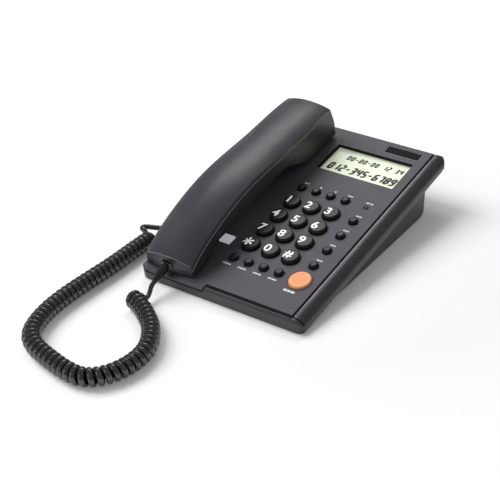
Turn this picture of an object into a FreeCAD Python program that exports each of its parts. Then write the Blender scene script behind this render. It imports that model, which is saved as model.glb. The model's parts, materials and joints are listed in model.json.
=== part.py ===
"""Corded desk telephone: sloped base, caller display, oval keys, arched handset and curly cord.

The origin is on the table under the middle of the base. +Z is up, +Y points to the back.
Panel coordinates are x across, v up the slope from the front edge, and n out of the panel.
"""
import FreeCAD, Part
import Sketcher
import math
import os
import re

# Driving dimensions in millimetres and degrees
SIZES = {
    # Base
    "base_width": 137.0,
    "slab_length": 221.2,
    "slab_depth": 16.6,
    "front_height": 10.1,
    "panel_tilt": 8.62,
    "rail_round": 8.0,
    "rail_side": 0.5,
    "left_round": 1.8,
    "front_round": 1.8,
    "rear_round": 2.5,
    "corner_round": 6.0,
    "wall": 2.4,
    "wedge_inset": 4.7,
    "rear_overhang": 27.7,
    "wedge_length": "=slab_length - rear_overhang",
    "wedge_round": 5.0,
    "seam": 0.3,
    "fit_gap": 0.4,
    "floor_thickness": 2.4,
    "floor_setback": 2.2,
    "foot_proud": 0.8,
    "foot_radius": 6.0,
    "foot_sink": 1.2,
    "foot_inset": 22.5,
    "foot_x": "=base_width / 2 - foot_inset",
    "foot_front": 24.0,
    "foot_rear": 17.5,
    "foot_back": "=wedge_length - foot_rear",
    # Face plate
    "plate_thickness": 2.2,
    "rail_width": 10.9,
    "plate_right": "=base_width / 2 - rail_width",
    "plate_front": 3.9,
    "plate_step": 71.1,
    "plate_step_x": "=plate_right - plate_step",
    "groove": 1.4,
    "rim_depth": 1.2,
    "rim_height": 1.3,
    "ledge_width": 2.2,
    "ledge_thickness": 2.4,
    # Keys
    "keypad_inset": 49.55,
    "keypad_x": "=plate_right - keypad_inset",
    "keypad_v": 56.9,
    "key_pitch_x": 17.0,
    "key_pitch_v": 19.18,
    "key_width": 13.4,
    "key_length": 15.4,
    "key_rise": 3.0,
    "key_round": 1.9,
    "key_travel": 1.5,
    "key_gap": 0.3,
    "key_flange": 1.0,
    "key_flange_thickness": 1.0,
    "key_hang": 0.1,
    "small_width": 6.9,
    "small_length": 7.9,
    "small_rise": 2.6,
    "small_round": 1.7,
    "small_pitch": 12.75,
    "small_shift": 1.0,
    "small_x": "=keypad_x - small_shift",
    "top_row_v": 134.0,
    "bottom_row_v": 38.9,
    "side_inset": 13.75,
    "side_x": "=plate_right - side_inset",
    "speaker_key_width": 16.0,
    "speaker_key_length": 18.3,
    "speaker_key_rise": 2.0,
    "speaker_key_round": 1.3,
    "speaker_key_v": 38.5,
    # Display, lamp and name plate
    "display_back": 57.5,
    "display_v": "=slab_length - display_back",
    "display_width": 65.1,
    "display_side": 7.55,
    "display_x": "=plate_right - display_side - display_width",
    "display_length": 34.7,
    "lens_margin": 2.2,
    "lens_thickness": 1.2,
    "module_thickness": 4.6,
    "lamp_inset": 36.55,
    "lamp_x": "=keypad_x - lamp_inset",
    "lamp_v": 54.9,
    "lamp_side": 8.8,
    "lamp_rise": 0.9,
    "lamp_flange": 1.2,
    "led_radius": 1.5,
    "led_rise": 0.4,
    "name_back": 16.4,
    "name_v": "=slab_length - name_back",
    "name_width": 30.7,
    "name_side": 6.45,
    "name_x": "=plate_right - name_side - name_width",
    "name_length": 10.3,
    "name_depth": 0.6,
    "name_gap": 0.15,
    # Screws of the base
    "post_inset": 11.5,
    "post_x": "=base_width / 2 - post_inset",
    "post_front": 40.0,
    "post_rear": 33.5,
    "post_back": "=wedge_length - post_rear",
    "post_radius": 3.0,
    "boss_radius": 3.8,
    "boss_rise": 2.0,
    "screw_radius": 1.4,
    "screw_length": 9.0,
    "screw_head": 2.8,
    "screw_head_height": 2.0,
    "screw_sink": 2.2,
    "screw_gap": 0.2,
    # Electronics
    "board_thickness": 1.6,
    "board_side_gap": 1.0,
    "board_right": "=post_x - post_radius - board_side_gap",
    "board_width": 78.0,
    "board_left": "=board_right - board_width",
    "board_front": 22.0,
    "board_display_gap": 12.7,
    "board_back": "=display_v - board_display_gap",
    "membrane_gap": 0.25,
    "membrane_thickness": 1.6,
    "membrane_inset": 6.0,
    "membrane_left": "=board_left + membrane_inset",
    "membrane_margin": 2.8,
    "membrane_right": "=board_right - membrane_margin",
    "board_post_radius": 1.9,
    "board_post_inset": 2.2,
    "board_screw_radius": 0.9,
    "board_screw_head": 1.7,
    "board_screw_head_height": 1.2,
    "board_screw_length": 4.0,
    "speaker_inset": 43.5,
    "speaker_x": "=base_width / 2 - speaker_inset",
    "speaker_back": 28.9,
    "speaker_radius": 20.0,
    "speaker_height": 15.0,
    "speaker_rim": 2.0,
    "magnet_radius": 10.5,
    "magnet_height": 6.0,
    "slot_width": 2.0,
    "slot_length": 26.0,
    "slot_pitch": 5.0,
    "base_mic_inset": 38.5,
    "base_mic_x": "=base_width / 2 - base_mic_inset",
    "base_mic_front": 11.0,
    "base_mic_radius": 3.0,
    "base_mic_height": 2.7,
    "sound_hole_radius": 0.8,
    # Sockets and plugs
    "line_jack_inset": 38.5,
    "line_jack_x": "=line_jack_inset - base_width / 2",
    "line_jack_width": 13.0,
    "line_jack_height": 10.0,
    "line_jack_length": 14.0,
    "line_port_width": 9.8,
    "line_port_height": 6.8,
    "line_port_depth": 11.0,
    "line_jack_rise": 2.8,
    "jack_width": 10.4,
    "jack_height": 6.6,
    "jack_length": 12.0,
    "port_width": 7.8,
    "port_height": 5.4,
    "port_depth": 11.0,
    "plug_gap": 0.1,
    "plug_proud": 1.5,
    "boot_length": 15.5,
    "boot_droop": 13.4,
    "boot_radius": 2.6,
    "cord_jack_front": 59.0,
    "cord_jack_inset": 3.6,
    "cord_jack_height": 9.6,
    "base_boot_length": 6.0,
    # Handset
    "handset_inset": 23.3,
    "handset_x": "=handset_inset - base_width / 2",
    "handset_v": 4.0,
    "handset_margin": 11.7,
    "handset_length": "=slab_length - handset_v - handset_margin",
    "handset_half_width": 19.75,
    "handset_draft": 0.055,
    "handset_wall": 2.2,
    "handset_seat": 0.4,
    "cover_depth": 4.0,
    "ear_back": 25.2,
    "ear_v": "=handset_v + handset_length - ear_back",
    "ear_reach": 21.0,
    "ear_from": "=ear_v - ear_reach",
    "ear_seat": 2.6,
    "ear_slope": 30.0,
    "grip_rise": 16.0,
    "grip_from": 49.5,
    "grip_to": "=ear_from - ear_slope",
    "grip_bend": 25.0,
    "mouth_to": 14.5,
    "ear_pad_radius": 17.0,
    "ear_pad_bottom": -1.0,
    "ear_floor": 2.0,
    "ear_cup_depth": 1.2,
    "ear_cup_gap": 0.6,
    "ear_hole_radius": 1.0,
    "ear_hole_ring": 5.5,
    "mouth_half_width": 13.0,
    "mouth_end": 35.5,
    "mouth_floor": 1.6,
    "receiver_radius": 14.8,
    "receiver_height": 8.0,
    "seal_thickness": 1.2,
    "seal_width": 2.6,
    "mic_v": 28.0,
    "mic_radius": 4.8,
    "mic_height": 5.0,
    "handset_jack_n": 7.0,
    "weight_length": 46.0,
    "weight_width": 16.0,
    "weight_height": 7.0,
    "handset_screw_front": 61.5,
    "handset_screw_rear": 12.0,
    "handset_screw_back": "=grip_to - handset_screw_rear",
    "handset_screw_radius": 1.2,
    "handset_screw_head": 2.3,
    "handset_screw_head_height": 1.1,
    "handset_screw_length": 8.0,
    "handset_post_radius": 2.8,
    # Hook
    "plunger_width": 8.0,
    "plunger_length": 6.0,
    "plunger_gap": 0.25,
    "plunger_flange": 1.6,
    "plunger_flange_thickness": 1.8,
    "hook_travel": 4.0,
    "guide_wall": 2.2,
    "guide_lip": 2.0,
    "guide_foot": 1.0,
    "switch_width": 12.8,
    "switch_length": 5.8,
    "switch_height": 6.5,
    # Cord
    "wire": 3.2,
    "coil_outside": 12.6,
    "curl_count": 58,
    "leave_early": 45.0,
    "uncoil_length": 9.0,
    "lead_run": 5.0,
    "base_lead_run": 8.0,
    "floor_gap": 0.05,
}

# Crest of the handset cover: share of its length from the front, height of its edges, rise of its crown
CREST = (
    (-0.0200, 4.2, 6.6),
    (0.0258, 11.8, 6.2),
    (0.0891, 18.2, 5.9),
    (0.1864, 24.5, 5.5),
    (0.3324, 30.1, 4.5),
    (0.5513, 30.8, 4.5),
    (0.7703, 29.7, 4.5),
    (1.0088, 26.5, 4.4),
)
for station, row in enumerate(CREST):
    for measure, size in zip(("at", "edge", "crown"), row):
        SIZES[f"crest_{measure}_{'abcdefgh'[station]}"] = size

# Middle line of the curly cord on the table, from the handset's end to the base's end.
# This and the bends of the leads are measured from the front left corner of the base.
COIL_ROUTE = (
    (20, -32.9), (28.5, -36), (38.5, -42.9), (51.5, -53.4), (63.5, -72.4), (65.5, -91.4),
    (60.5, -109.4), (49.5, -121.4), (34.5, -121.4), (16.5, -117.4), (-0.5, -112.4), (-11.5, -104.4),
    (-17.5, -91.4), (-21.5, -73.4), (-22.5, -53.4), (-21.5, -29.4), (-20, -4.4), (-21, 18.6),
    (-22, 40.6),
)
# Bends of the free stretches between the coil's ends and the two plugs
BASE_LEAD_ROUTE = ((-19.5, 55.1, 10.4),)

# Heights and places that several pieces share
Y_FRONT = "(-(slab_length * cos(panel_tilt) + slab_depth * sin(panel_tilt)) / 2)"
Y_BACK = f"({Y_FRONT} + wedge_length)"
FLOOR_TOP = "(foot_proud + floor_thickness)"
FLOOR_HALF = "(base_width / 2 - wedge_inset - wall - fit_gap)"
LEDGE_BOTTOM = "(-plate_thickness - ledge_thickness)"
KEY_BOTTOM = "(-plate_thickness - key_hang - key_flange_thickness)"
MEMBRANE_TOP = f"({KEY_BOTTOM} - key_travel - membrane_gap)"
BOARD_TOP = f"({MEMBRANE_TOP} - membrane_thickness)"
BOARD_BOTTOM = f"({BOARD_TOP} - board_thickness)"
BOSS_TOP = f"({FLOOR_TOP} + boss_rise)"
SCREW_SEAT = "(foot_proud + screw_sink)"
FLANGE_TOP = "(-plate_thickness - guide_lip - plunger_gap - hook_travel)"
FLANGE_BOTTOM = f"({FLANGE_TOP} - plunger_flange_thickness)"
GUIDE_BOTTOM = f"({FLANGE_BOTTOM} - guide_foot)"
GRIP_FLOOR = "(grip_rise + handset_wall)"
EAR_FLOOR = "(ear_pad_bottom + ear_floor)"
HANDSET_END = "(handset_v + handset_length)"
JACK_V = "(handset_v + handset_wall + plug_gap)"
CORD_JACK_FACE = "(-base_width / 2 + cord_jack_inset)"
CORD_JACK_Y = f"({Y_FRONT} + cord_jack_front)"
CORD_JACK_Z = f"({FLOOR_TOP} + cord_jack_height / 2)"
LINE_JACK_Z = f"({FLOOR_TOP} + line_jack_rise)"
SPEAKER_Y = f"({Y_BACK} - speaker_back)"

Vector = FreeCAD.Vector
PLAN = FreeCAD.Rotation()
SECTION = FreeCAD.Rotation(Vector(1, 0, 0), 90)
SIDE = FreeCAD.Rotation(Vector(1, 1, 1), 120)
UP_N = Vector(0, 0, 1)
UP_SLOPE = Vector(0, 1, 0)
ACROSS = Vector(1, 0, 0)

doc = FreeCAD.newDocument("desk_telephone")
sheet = doc.addObject("Spreadsheet::Sheet", "Sizes")
nodes = []


def fill_sheet():
    """Write every driving dimension into the sheet under its alias."""
    for line, (alias, size) in enumerate(SIZES.items(), 1):
        sheet.set(f"A{line}", alias)
        sheet.set(f"B{line}", str(size))
        sheet.setAlias(f"B{line}", alias)
    doc.recompute()


def bound(text):
    """The expression with each alias pointed at the sheet."""
    return re.sub(r"[a-z][a-z_]*", lambda m: f"Sizes.{m[0]}" if m[0] in SIZES else m[0], str(text))


def number(text):
    """The present value of an expression."""
    return float(sheet.evalExpression(bound(text)))


def bind(thing, prop, text):
    thing.setExpression(prop, bound(text))


def put(thing, x="0", y="0", z="0"):
    """Bind the place of an object's own origin."""
    for axis, text in zip("xyz", (x, y, z)):
        bind(thing, f"Placement.Base.{axis}", text)


def on_panel(thing, x="0", v="0", n="0"):
    """Lay an object modelled in panel coordinates on the sloped panel."""
    thing.Placement = FreeCAD.Placement(Vector(), FreeCAD.Rotation(ACROSS, number("panel_tilt")))
    bind(thing, "Placement.Rotation.Angle", "panel_tilt")
    put(thing, x, f"{Y_FRONT} + ({v}) * cos(panel_tilt) - ({n}) * sin(panel_tilt)",
        f"front_height + ({v}) * sin(panel_tilt) + ({n}) * cos(panel_tilt)")
    return thing


def node(thing, label):
    """Name a finished sub-part."""
    thing.Label = label
    nodes.append(thing)
    return thing


def fix(sketch, ref, x, y):
    """Tie a point of a sketch to expressions for its two coordinates."""
    for kind, text in (("DistanceX", x), ("DistanceY", y)):
        index = sketch.addConstraint(Sketcher.Constraint(kind, -1, 1, *ref, number(text)))
        bind(sketch, f"Constraints[{index}]", text)


def size_constraint(sketch, kind, geometry, text):
    index = sketch.addConstraint(Sketcher.Constraint(kind, geometry, number(text)))
    bind(sketch, f"Constraints[{index}]", text)


def round_corner(sketch, before, after, corner, inward, radius):
    """Put a tangent arc between two lines of an outline and keep their corner as a point."""
    half = inward[0].getAngle(inward[1]) / 2
    reach = number(radius) / math.tan(half)
    middle = (inward[0] + inward[1]).normalize()
    crest = corner + middle * (number(radius) / math.sin(half) - number(radius))
    start = corner + inward[0] * reach
    arc = sketch.addGeometry(Part.Arc(start, crest, corner + inward[1] * reach))
    left_turn = inward[1].cross(inward[0]).z > 0
    first = 1 if left_turn else 2
    sketch.addConstraint(Sketcher.Constraint("Tangent", before, 2, arc, first))
    sketch.addConstraint(Sketcher.Constraint("Tangent", arc, 3 - first, after, 1))
    size_constraint(sketch, "Radius", arc, radius)
    point = sketch.addGeometry(Part.Point(corner), True)
    sketch.addConstraint(Sketcher.Constraint("PointOnObject", point, 1, before))
    sketch.addConstraint(Sketcher.Constraint("PointOnObject", point, 1, after))
    return point, 1


def draw_outline(sketch, corners):
    """Draw a closed outline; a corner is (x, y) or (x, y, radius), each an expression."""
    count = len(corners)
    points = [Vector(number(c[0]), number(c[1]), 0) for c in corners]
    ways = [(points[(i + 1) % count] - points[i]).normalize() for i in range(count)]
    reach = []
    for i, corner in enumerate(corners):
        turn = ways[i - 1].getAngle(ways[i])
        reach.append(number(corner[2]) * math.tan(turn / 2) if len(corner) == 3 else 0)
    lines = []
    for i in range(count):
        after = (i + 1) % count
        ends = points[i] + ways[i] * reach[i], points[after] - ways[i] * reach[after]
        lines.append(sketch.addGeometry(Part.LineSegment(*ends)))
    for i, corner in enumerate(corners):
        before, line = lines[i - 1], lines[i]
        if len(corner) == 3:
            ref = round_corner(sketch, before, line, points[i], (-ways[i - 1], ways[i]), corner[2])
        else:
            sketch.addConstraint(Sketcher.Constraint("Coincident", before, 2, line, 1))
            ref = (line, 1)
        fix(sketch, ref, corner[0], corner[1])
    return sketch


def draw_oval(sketch, x, y, width, length):
    """Draw an ellipse that is longest along the sketch's second axis."""
    middle = Vector(number(x), number(y), 0)
    ends = middle + Vector(0, number(length) / 2, 0), middle + Vector(number(width) / 2, 0, 0)
    oval = sketch.addGeometry(Part.Ellipse(*ends, middle))
    sketch.exposeInternalGeometry(oval)
    fix(sketch, (oval, 3), x, y)
    sketch.addConstraint(Sketcher.Constraint("Vertical", oval + 1))
    size_constraint(sketch, "Distance", oval + 1, length)
    size_constraint(sketch, "Distance", oval + 2, width)


def outline(name, plane, corners, x="0", v="0", n="0"):
    sketch = doc.addObject("Sketcher::SketchObject", name)
    sketch.Placement = FreeCAD.Placement(Vector(), plane)
    put(sketch, x, v, n)
    return draw_outline(sketch, corners)


def extrude(name, sketch, way, length):
    solid = doc.addObject("Part::Extrusion", name)
    solid.Base = sketch
    solid.DirMode = "Custom"
    solid.Dir = way
    solid.Solid = True
    bind(solid, "LengthFwd", length)
    return solid


def block(name, x, y, z):
    """A box between two expressions along each axis."""
    solid = doc.addObject("Part::Box", name)
    for prop, (low, high) in zip(("Length", "Width", "Height"), (x, y, z)):
        bind(solid, prop, f"({high}) - ({low})")
    put(solid, x[0], y[0], z[0])
    return solid


def panel_block(name, x, v, n):
    """A box lying on the panel, between two expressions along each panel axis."""
    sizes = [("0", f"({high}) - ({low})") for low, high in (x, v, n)]
    return on_panel(block(name, *sizes), x[0], v[0], n[0])


def disc(name, x, y, z, radius):
    """An upright cylinder between two heights."""
    solid = doc.addObject("Part::Cylinder", name)
    bind(solid, "Radius", radius)
    bind(solid, "Height", f"({z[1]}) - ({z[0]})")
    put(solid, x, y, z[0])
    return solid


def fuse(name, *shapes):
    solid = doc.addObject("Part::MultiFuse", name)
    solid.Shapes = list(shapes)
    return solid


def common(name, *shapes):
    solid = doc.addObject("Part::MultiCommon", name)
    solid.Shapes = list(shapes)
    return solid


def cut(name, base, *tools):
    """The base less every tool."""
    tool = tools[0] if len(tools) == 1 else fuse(f"{name}_tools", *tools)
    solid = doc.addObject("Part::Cut", name)
    solid.Base = base
    solid.Tool = tool
    return solid


def loft(name, sections):
    solid = doc.addObject("Part::Loft", name)
    solid.Sections = sections
    solid.Solid = True
    solid.MaxDegree = 3
    return solid


def plane_of(body, role):
    return next(plane for plane in body.Origin.OriginFeatures if plane.Role == role)


def body_sketch(body, name, role):
    sketch = body.newObject("Sketcher::SketchObject", name)
    sketch.AttachmentSupport = [(plane_of(body, role), "")]
    sketch.MapMode = "FlatFace"
    return sketch


def turned(name, profile):
    """A body turned about its own upright axis; the profile is radius against height."""
    body = doc.addObject("PartDesign::Body", name)
    sketch = draw_outline(body_sketch(body, f"{name}_profile", "XZ_Plane"), profile)
    revolution = body.newObject("PartDesign::Revolution", f"{name}_turn")
    revolution.Profile = sketch
    revolution.ReferenceAxis = (sketch, ["V_Axis"])
    revolution.Angle = 360
    return body


def screw_group(name, places, turned_screw):
    """Copies of one turned screw as a group of separate solids."""
    links = []
    for index, (x, y, z) in enumerate(places):
        copy = doc.addObject("App::Link", f"{name}_{index}")
        copy.LinkedObject = turned_screw
        copy.LinkTransform = False
        put(copy, x, y, z)
        links.append(copy)
    group = doc.addObject("Part::Compound", name)
    group.Links = links
    return group


# Base: the sloped frame, the face plate it carries, and the tub under them

def make_slab():
    """Outer form of the sloped upper part, in panel coordinates."""
    half, under = "base_width / 2", "(base_width / 2 - wedge_inset)"
    low = "-(rail_round + rail_side)"
    rails = outline("rail_section", SECTION, (
        (f"-{half}", "0", "left_round"), (f"-{half}", low), (f"-{under}", "-slab_depth"),
        (under, "-slab_depth"), (half, low), (half, "0", "rail_round")))
    corners = [(f"-{half}", "0"), (half, "0"), (half, "slab_length"), (f"-{half}", "slab_length")]
    plan = outline("slab_plan", PLAN, [(x, v, "corner_round") for x, v in corners], n="-slab_depth")
    side = outline("slab_side", SIDE, (
        ("0", "-slab_depth"), ("slab_length", "-slab_depth"), ("slab_length", "0", "rear_round"),
        ("0", "0", "front_round")), x=f"-{half}")
    return common("slab", extrude("rails", rails, UP_SLOPE, "slab_length"),
                  extrude("slab_block", plan, UP_N, "slab_depth"),
                  extrude("slab_ends", side, ACROSS, "base_width"))


def plate_outline(name, gap):
    """Edge of the face plate, stepped at the front, grown by a gap where a groove shows."""
    out = "-base_width"
    step, right, front = f"plate_step_x + {gap}", f"plate_right + {gap}", f"plate_front - {gap}"
    far = "slab_length + base_width"
    return outline(name, PLAN, ((out, out), (step, out), (step, front), (right, front), (right, far),
                                (out, far)), n="-plate_thickness")


def make_rim_groove():
    """A shadow line in the outer wall under the edge of the face plate, left of its step and behind."""
    depth = ("-plate_thickness - rim_height", "-plate_thickness")
    side, end = "(base_width / 2 - rim_depth)", "slab_length - rim_depth"
    corners = ((f"-{side}", "rim_depth"), (side, "rim_depth"), (side, end), (f"-{side}", end))
    plan = outline("rim_plan", PLAN, [(x, v, "corner_round - rim_depth") for x, v in corners], n=depth[0])
    left = block("rim_left", ("-base_width", "plate_step_x"), ("-slab_length", "2 * slab_length"), depth)
    back = block("rim_back", ("plate_step_x - groove", "plate_right"), ("slab_length / 2", "2 * slab_length"),
                 depth)
    return cut("rim_groove", fuse("rim_blocks", left, back), extrude("rim_core", plan, UP_N, "rim_height"))


def post_places():
    ends = ("post_front", "post_back")
    return [(f"{side}post_x", f"{Y_FRONT} + {end}") for side in ("-", "") for end in ends]


def make_top_housing(slab):
    half = "(base_width / 2 - wall - seam)"
    low, under = "-(rail_round + rail_side)", "(base_width / 2 - wedge_inset - wall)"
    hollow = outline("frame_hollow", SECTION, (
        (f"-{half}", LEDGE_BOTTOM), (f"-{half}", low), (f"-{under}", "-slab_depth"),
        (f"-{under}", "-2 * slab_depth"), (under, "-2 * slab_depth"), (under, "-slab_depth"), (half, low),
        (half, LEDGE_BOTTOM)), v="wall")
    window = block("frame_window", ("-(post_x - post_radius / 4)", "plate_right - ledge_width"),
                   ("plate_front + ledge_width", "slab_length - wall - ledge_width"),
                   ("-slab_depth", "slab_depth"))
    frame = cut("frame", slab, extrude("frame_space", hollow, UP_SLOPE, "slab_length - 2 * wall"), window,
                extrude("plate_bed", plate_outline("bed_edge", "groove"), UP_N, "slab_depth"),
                make_rim_groove())
    on_panel(frame)
    posts, pilots = [], []
    for index, (x, y) in enumerate(post_places()):
        roof = f"(front_height + ({y} - {Y_FRONT}) * tan(panel_tilt) - plate_thickness - ledge_thickness / 2)"
        posts.append(disc(f"housing_post_{index}", x, y, (BOSS_TOP, roof), "post_radius"))
        pilots.append(disc(f"housing_pilot_{index}", x, y,
                           (f"{BOSS_TOP} - 1", f"{SCREW_SEAT} + screw_length + screw_gap"),
                           "screw_radius + screw_gap / 4"))
    ground = block("ground", ("-base_width", "base_width"), (f"2 * {Y_FRONT}", f"-2 * {Y_FRONT}"),
                   ("-slab_depth", "foot_proud"))
    gap = "plug_gap"
    opening = block("cord_jack_cut", ("-base_width", f"{CORD_JACK_FACE} + jack_length"),
                    (f"{CORD_JACK_Y} - jack_width / 2 - {gap}", f"{CORD_JACK_Y} + jack_width / 2 + {gap}"),
                    (f"{FLOOR_TOP} - {gap}", f"{FLOOR_TOP} + cord_jack_height + {gap}"))
    whole = fuse("frame_with_posts", frame, *posts)
    return node(cut("housing", whole, ground, opening, *pilots), "top_housing")


def dial_places():
    """Name and place of each dial key, from the top row down."""
    names = ("1", "2", "3", "4", "5", "6", "7", "8", "9", "star", "0", "hash")
    for index, name in enumerate(names):
        row, column = divmod(index, 3)
        yield f"key_{name}", f"keypad_x + {column - 1} * key_pitch_x", f"keypad_v + {3 - row} * key_pitch_v"


def small_places():
    """Name and place of each small function key."""
    for index in range(4):
        x = f"small_x + {index - 1.5} * small_pitch"
        yield f"upper_key_{index + 1}", x, "top_row_v"
        yield f"lower_key_{index + 1}", x, "bottom_row_v"
        yield f"side_key_{index + 1}", "side_x", f"keypad_v + {3 - index} * key_pitch_v"


def key_list():
    """Every key with its name, place, plan size, rise and edge radius."""
    for name, x, v in dial_places():
        yield name, x, v, "key_width", "key_length", "key_rise", "key_round"
    for name, x, v in small_places():
        yield name, x, v, "small_width", "small_length", "small_rise", "small_round"
    size = "speaker_key_width", "speaker_key_length", "speaker_key_rise", "speaker_key_round"
    yield "speaker_key", "side_x", "speaker_key_v", *size


def make_key(name, x, v, width, length, rise, edge):
    """An oval cap with a flange that keeps it under the face plate."""
    body = doc.addObject("PartDesign::Body", f"{name}_body")
    flange = body_sketch(body, f"{name}_flange", "XY_Plane")
    draw_oval(flange, "0", "0", f"{width} + 2 * key_flange", f"{length} + 2 * key_flange")
    foot = body.newObject("PartDesign::Pad", f"{name}_foot")
    foot.Profile = flange
    bind(foot, "Length", "key_flange_thickness")
    cap = body_sketch(body, f"{name}_oval", "XY_Plane")
    draw_oval(cap, "0", "0", width, length)
    stem = body.newObject("PartDesign::Pad", f"{name}_stem")
    stem.Profile = cap
    bind(stem, "Length", f"{rise} - {KEY_BOTTOM}")
    doc.recompute()
    top = stem.Shape.BoundBox.ZMax
    rim = next(i for i, edge_line in enumerate(stem.Shape.Edges, 1) if edge_line.BoundBox.ZMin > top - 1e-3)
    crown = body.newObject("PartDesign::Fillet", f"{name}_crown")
    crown.Base = (stem, [f"Edge{rim}"])
    bind(crown, "Radius", edge)
    on_panel(body, x, v, KEY_BOTTOM)
    return node(body, name)


def board_post_places():
    """Three posts along each side of the main board."""
    left, right = "board_left + board_post_inset", "board_right - board_post_inset"
    front, back = "board_front + board_post_inset", "board_back - board_post_inset"
    for x in (left, right):
        yield x, front
        yield x, f"({front} + {back}) / 2"
        yield x, back


def span(middle, size, gap="0"):
    """A pair of expressions for a size centred on a place, grown by a gap."""
    return f"({middle}) - ({size}) / 2 - ({gap})", f"({middle}) + ({size}) / 2 + ({gap})"


def make_face_plate(slab):
    above = ("-2 * slab_depth", "slab_depth")
    reach = extrude("plate_reach", plate_outline("plate_edge", "0"), UP_N, "slab_depth")
    blank = common("plate_blank", slab, reach)
    posts, pilots = [], []
    for index, (x, v) in enumerate(board_post_places()):
        posts.append(disc(f"board_post_{index}", x, v, (BOARD_TOP, "-plate_thickness"), "board_post_radius"))
        depth = f"{BOARD_TOP} - 1", f"{BOARD_TOP} + board_screw_length"
        pilots.append(disc(f"board_pilot_{index}", x, v, depth, "board_screw_radius + screw_gap / 4"))
    guide = block("plunger_guide", span("handset_x", "plunger_width + 2 * (plunger_flange + guide_wall)"),
                  span("ear_v", "plunger_length + 2 * guide_wall"), (GUIDE_BOTTOM, "-plate_thickness"))
    holes = doc.addObject("Sketcher::SketchObject", "key_holes")
    for name, x, v, width, length, rise, edge in key_list():
        draw_oval(holes, x, v, f"{width} + 2 * key_gap", f"{length} + 2 * key_gap")
    put(holes, z="-slab_depth")
    tools = [
        extrude("key_hole_tools", holes, UP_N, "2 * slab_depth"),
        block("display_hole", ("display_x", "display_x + display_width"),
              ("display_v", "display_v + display_length"), above),
        block("lamp_hole", span("lamp_x", "lamp_side", "key_gap"),
              span("lamp_v", "lamp_side", "key_gap"), above),
        disc("led_hole", "side_x", "top_row_v", above, "led_radius + key_gap"),
        block("name_bed", ("name_x", "name_x + name_width"), ("name_v", "name_v + name_length"),
              ("-name_depth", "slab_depth")),
        disc("ear_cup", "handset_x", "ear_v", ("-ear_cup_depth", "slab_depth"),
             "ear_pad_radius + ear_cup_gap"),
        block("plunger_way", span("handset_x", "plunger_width", "plunger_gap"),
              span("ear_v", "plunger_length", "plunger_gap"), above),
        block("flange_way", span("handset_x", "plunger_width + 2 * plunger_flange", "plunger_gap"),
              span("ear_v", "plunger_length", "plunger_gap"),
              ("-2 * slab_depth", "-plate_thickness - guide_lip")),
    ]
    plate = cut("plate", fuse("plate_with_posts", blank, guide, *posts), *tools, *pilots)
    return node(on_panel(plate), "face_plate")


def make_bottom_housing():
    half = "(base_width / 2 - wedge_inset - seam)"
    drop = "(slab_depth + seam) / cos(panel_tilt)"
    rear_top = f"(front_height + ({Y_BACK} - {Y_FRONT}) * tan(panel_tilt) - {drop})"
    tip = f"{Y_FRONT} + (foot_proud - front_height + {drop}) / tan(panel_tilt)"
    wedge = outline("wedge_side", SIDE, (
        (tip, "foot_proud"), (Y_BACK, "foot_proud", "wedge_round"), (Y_BACK, rear_top)), x=f"-{half}")
    tub = extrude("wedge", wedge, ACROSS, f"2 * {half}")
    inside = block("wedge_space", (f"-({half} - wall)", f"{half} - wall"),
                   (f"2 * {Y_FRONT}", f"{Y_BACK} - wall"), (FLOOR_TOP, "base_width"))
    floor = block("floor", (f"-{FLOOR_HALF}", FLOOR_HALF),
                  (f"{Y_FRONT} + wall + floor_setback", f"{Y_BACK} - wedge_round"), ("foot_proud", FLOOR_TOP))
    lid_v = f"(({Y_BACK} - wall - {Y_FRONT} - slab_depth * sin(panel_tilt)) / cos(panel_tilt))"
    lid = on_panel(block("lid", ("0", f"2 * {FLOOR_HALF}"), ("0", f"slab_length - wall - fit_gap - {lid_v}"),
                         ("0", "floor_thickness")), f"-{FLOOR_HALF}", lid_v, "-slab_depth")
    rib = block("lid_riser", ("0", f"2 * {FLOOR_HALF}"), ("0", "wall"), ("0", "2 * floor_thickness"))
    riser = on_panel(rib, f"-{FLOOR_HALF}", lid_v, "-slab_depth - floor_thickness")
    pedestal = block("line_jack_seat", span("line_jack_x", "line_jack_width"),
                     (f"{Y_BACK} - line_jack_length", f"{Y_BACK} - wall"), (FLOOR_TOP, LINE_JACK_Z))
    bosses, holes = [], []
    for index, (x, y) in enumerate(post_places()):
        bosses.append(disc(f"boss_{index}", x, y, ("foot_proud", BOSS_TOP), "boss_radius"))
        holes.append(disc(f"head_hole_{index}", x, y, ("-1", SCREW_SEAT), "screw_head + screw_gap"))
        holes.append(disc(f"shank_hole_{index}", x, y, ("-1", f"{BOSS_TOP} + 1"), "screw_radius + screw_gap"))
    for index, (x, y) in enumerate(foot_places()):
        holes.append(disc(f"foot_bed_{index}", x, y, ("-1", "foot_proud + foot_sink"),
                          "foot_radius + screw_gap"))
    for index in range(-2, 3):
        middle = f"{SPEAKER_Y} + {index} * slot_pitch"
        holes.append(block(f"sound_slot_{index + 2}", span("speaker_x", "slot_length"),
                           span(middle, "slot_width"), ("-1", f"{FLOOR_TOP} + 1")))
    holes.append(disc("base_mic_hole", "base_mic_x", f"{Y_FRONT} + base_mic_front",
                      ("-1", f"{FLOOR_TOP} + 1"), "sound_hole_radius"))
    holes.append(block("line_jack_cut", span("line_jack_x", "line_jack_width", "plug_gap"),
                       (f"{Y_BACK} - 2 * wall", f"{Y_BACK} + wall"),
                       (LINE_JACK_Z, f"{LINE_JACK_Z} + line_jack_height + plug_gap")))
    shell = fuse("tub_parts", cut("tub", tub, inside), floor, lid, riser, pedestal, *bosses)
    return node(cut("tub_shell", shell, *holes), "bottom_housing")


def foot_places():
    ends = ("foot_front", "foot_back")
    return [(f"{side}foot_x", f"{Y_FRONT} + {end}") for side in ("-", "") for end in ends]


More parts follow.
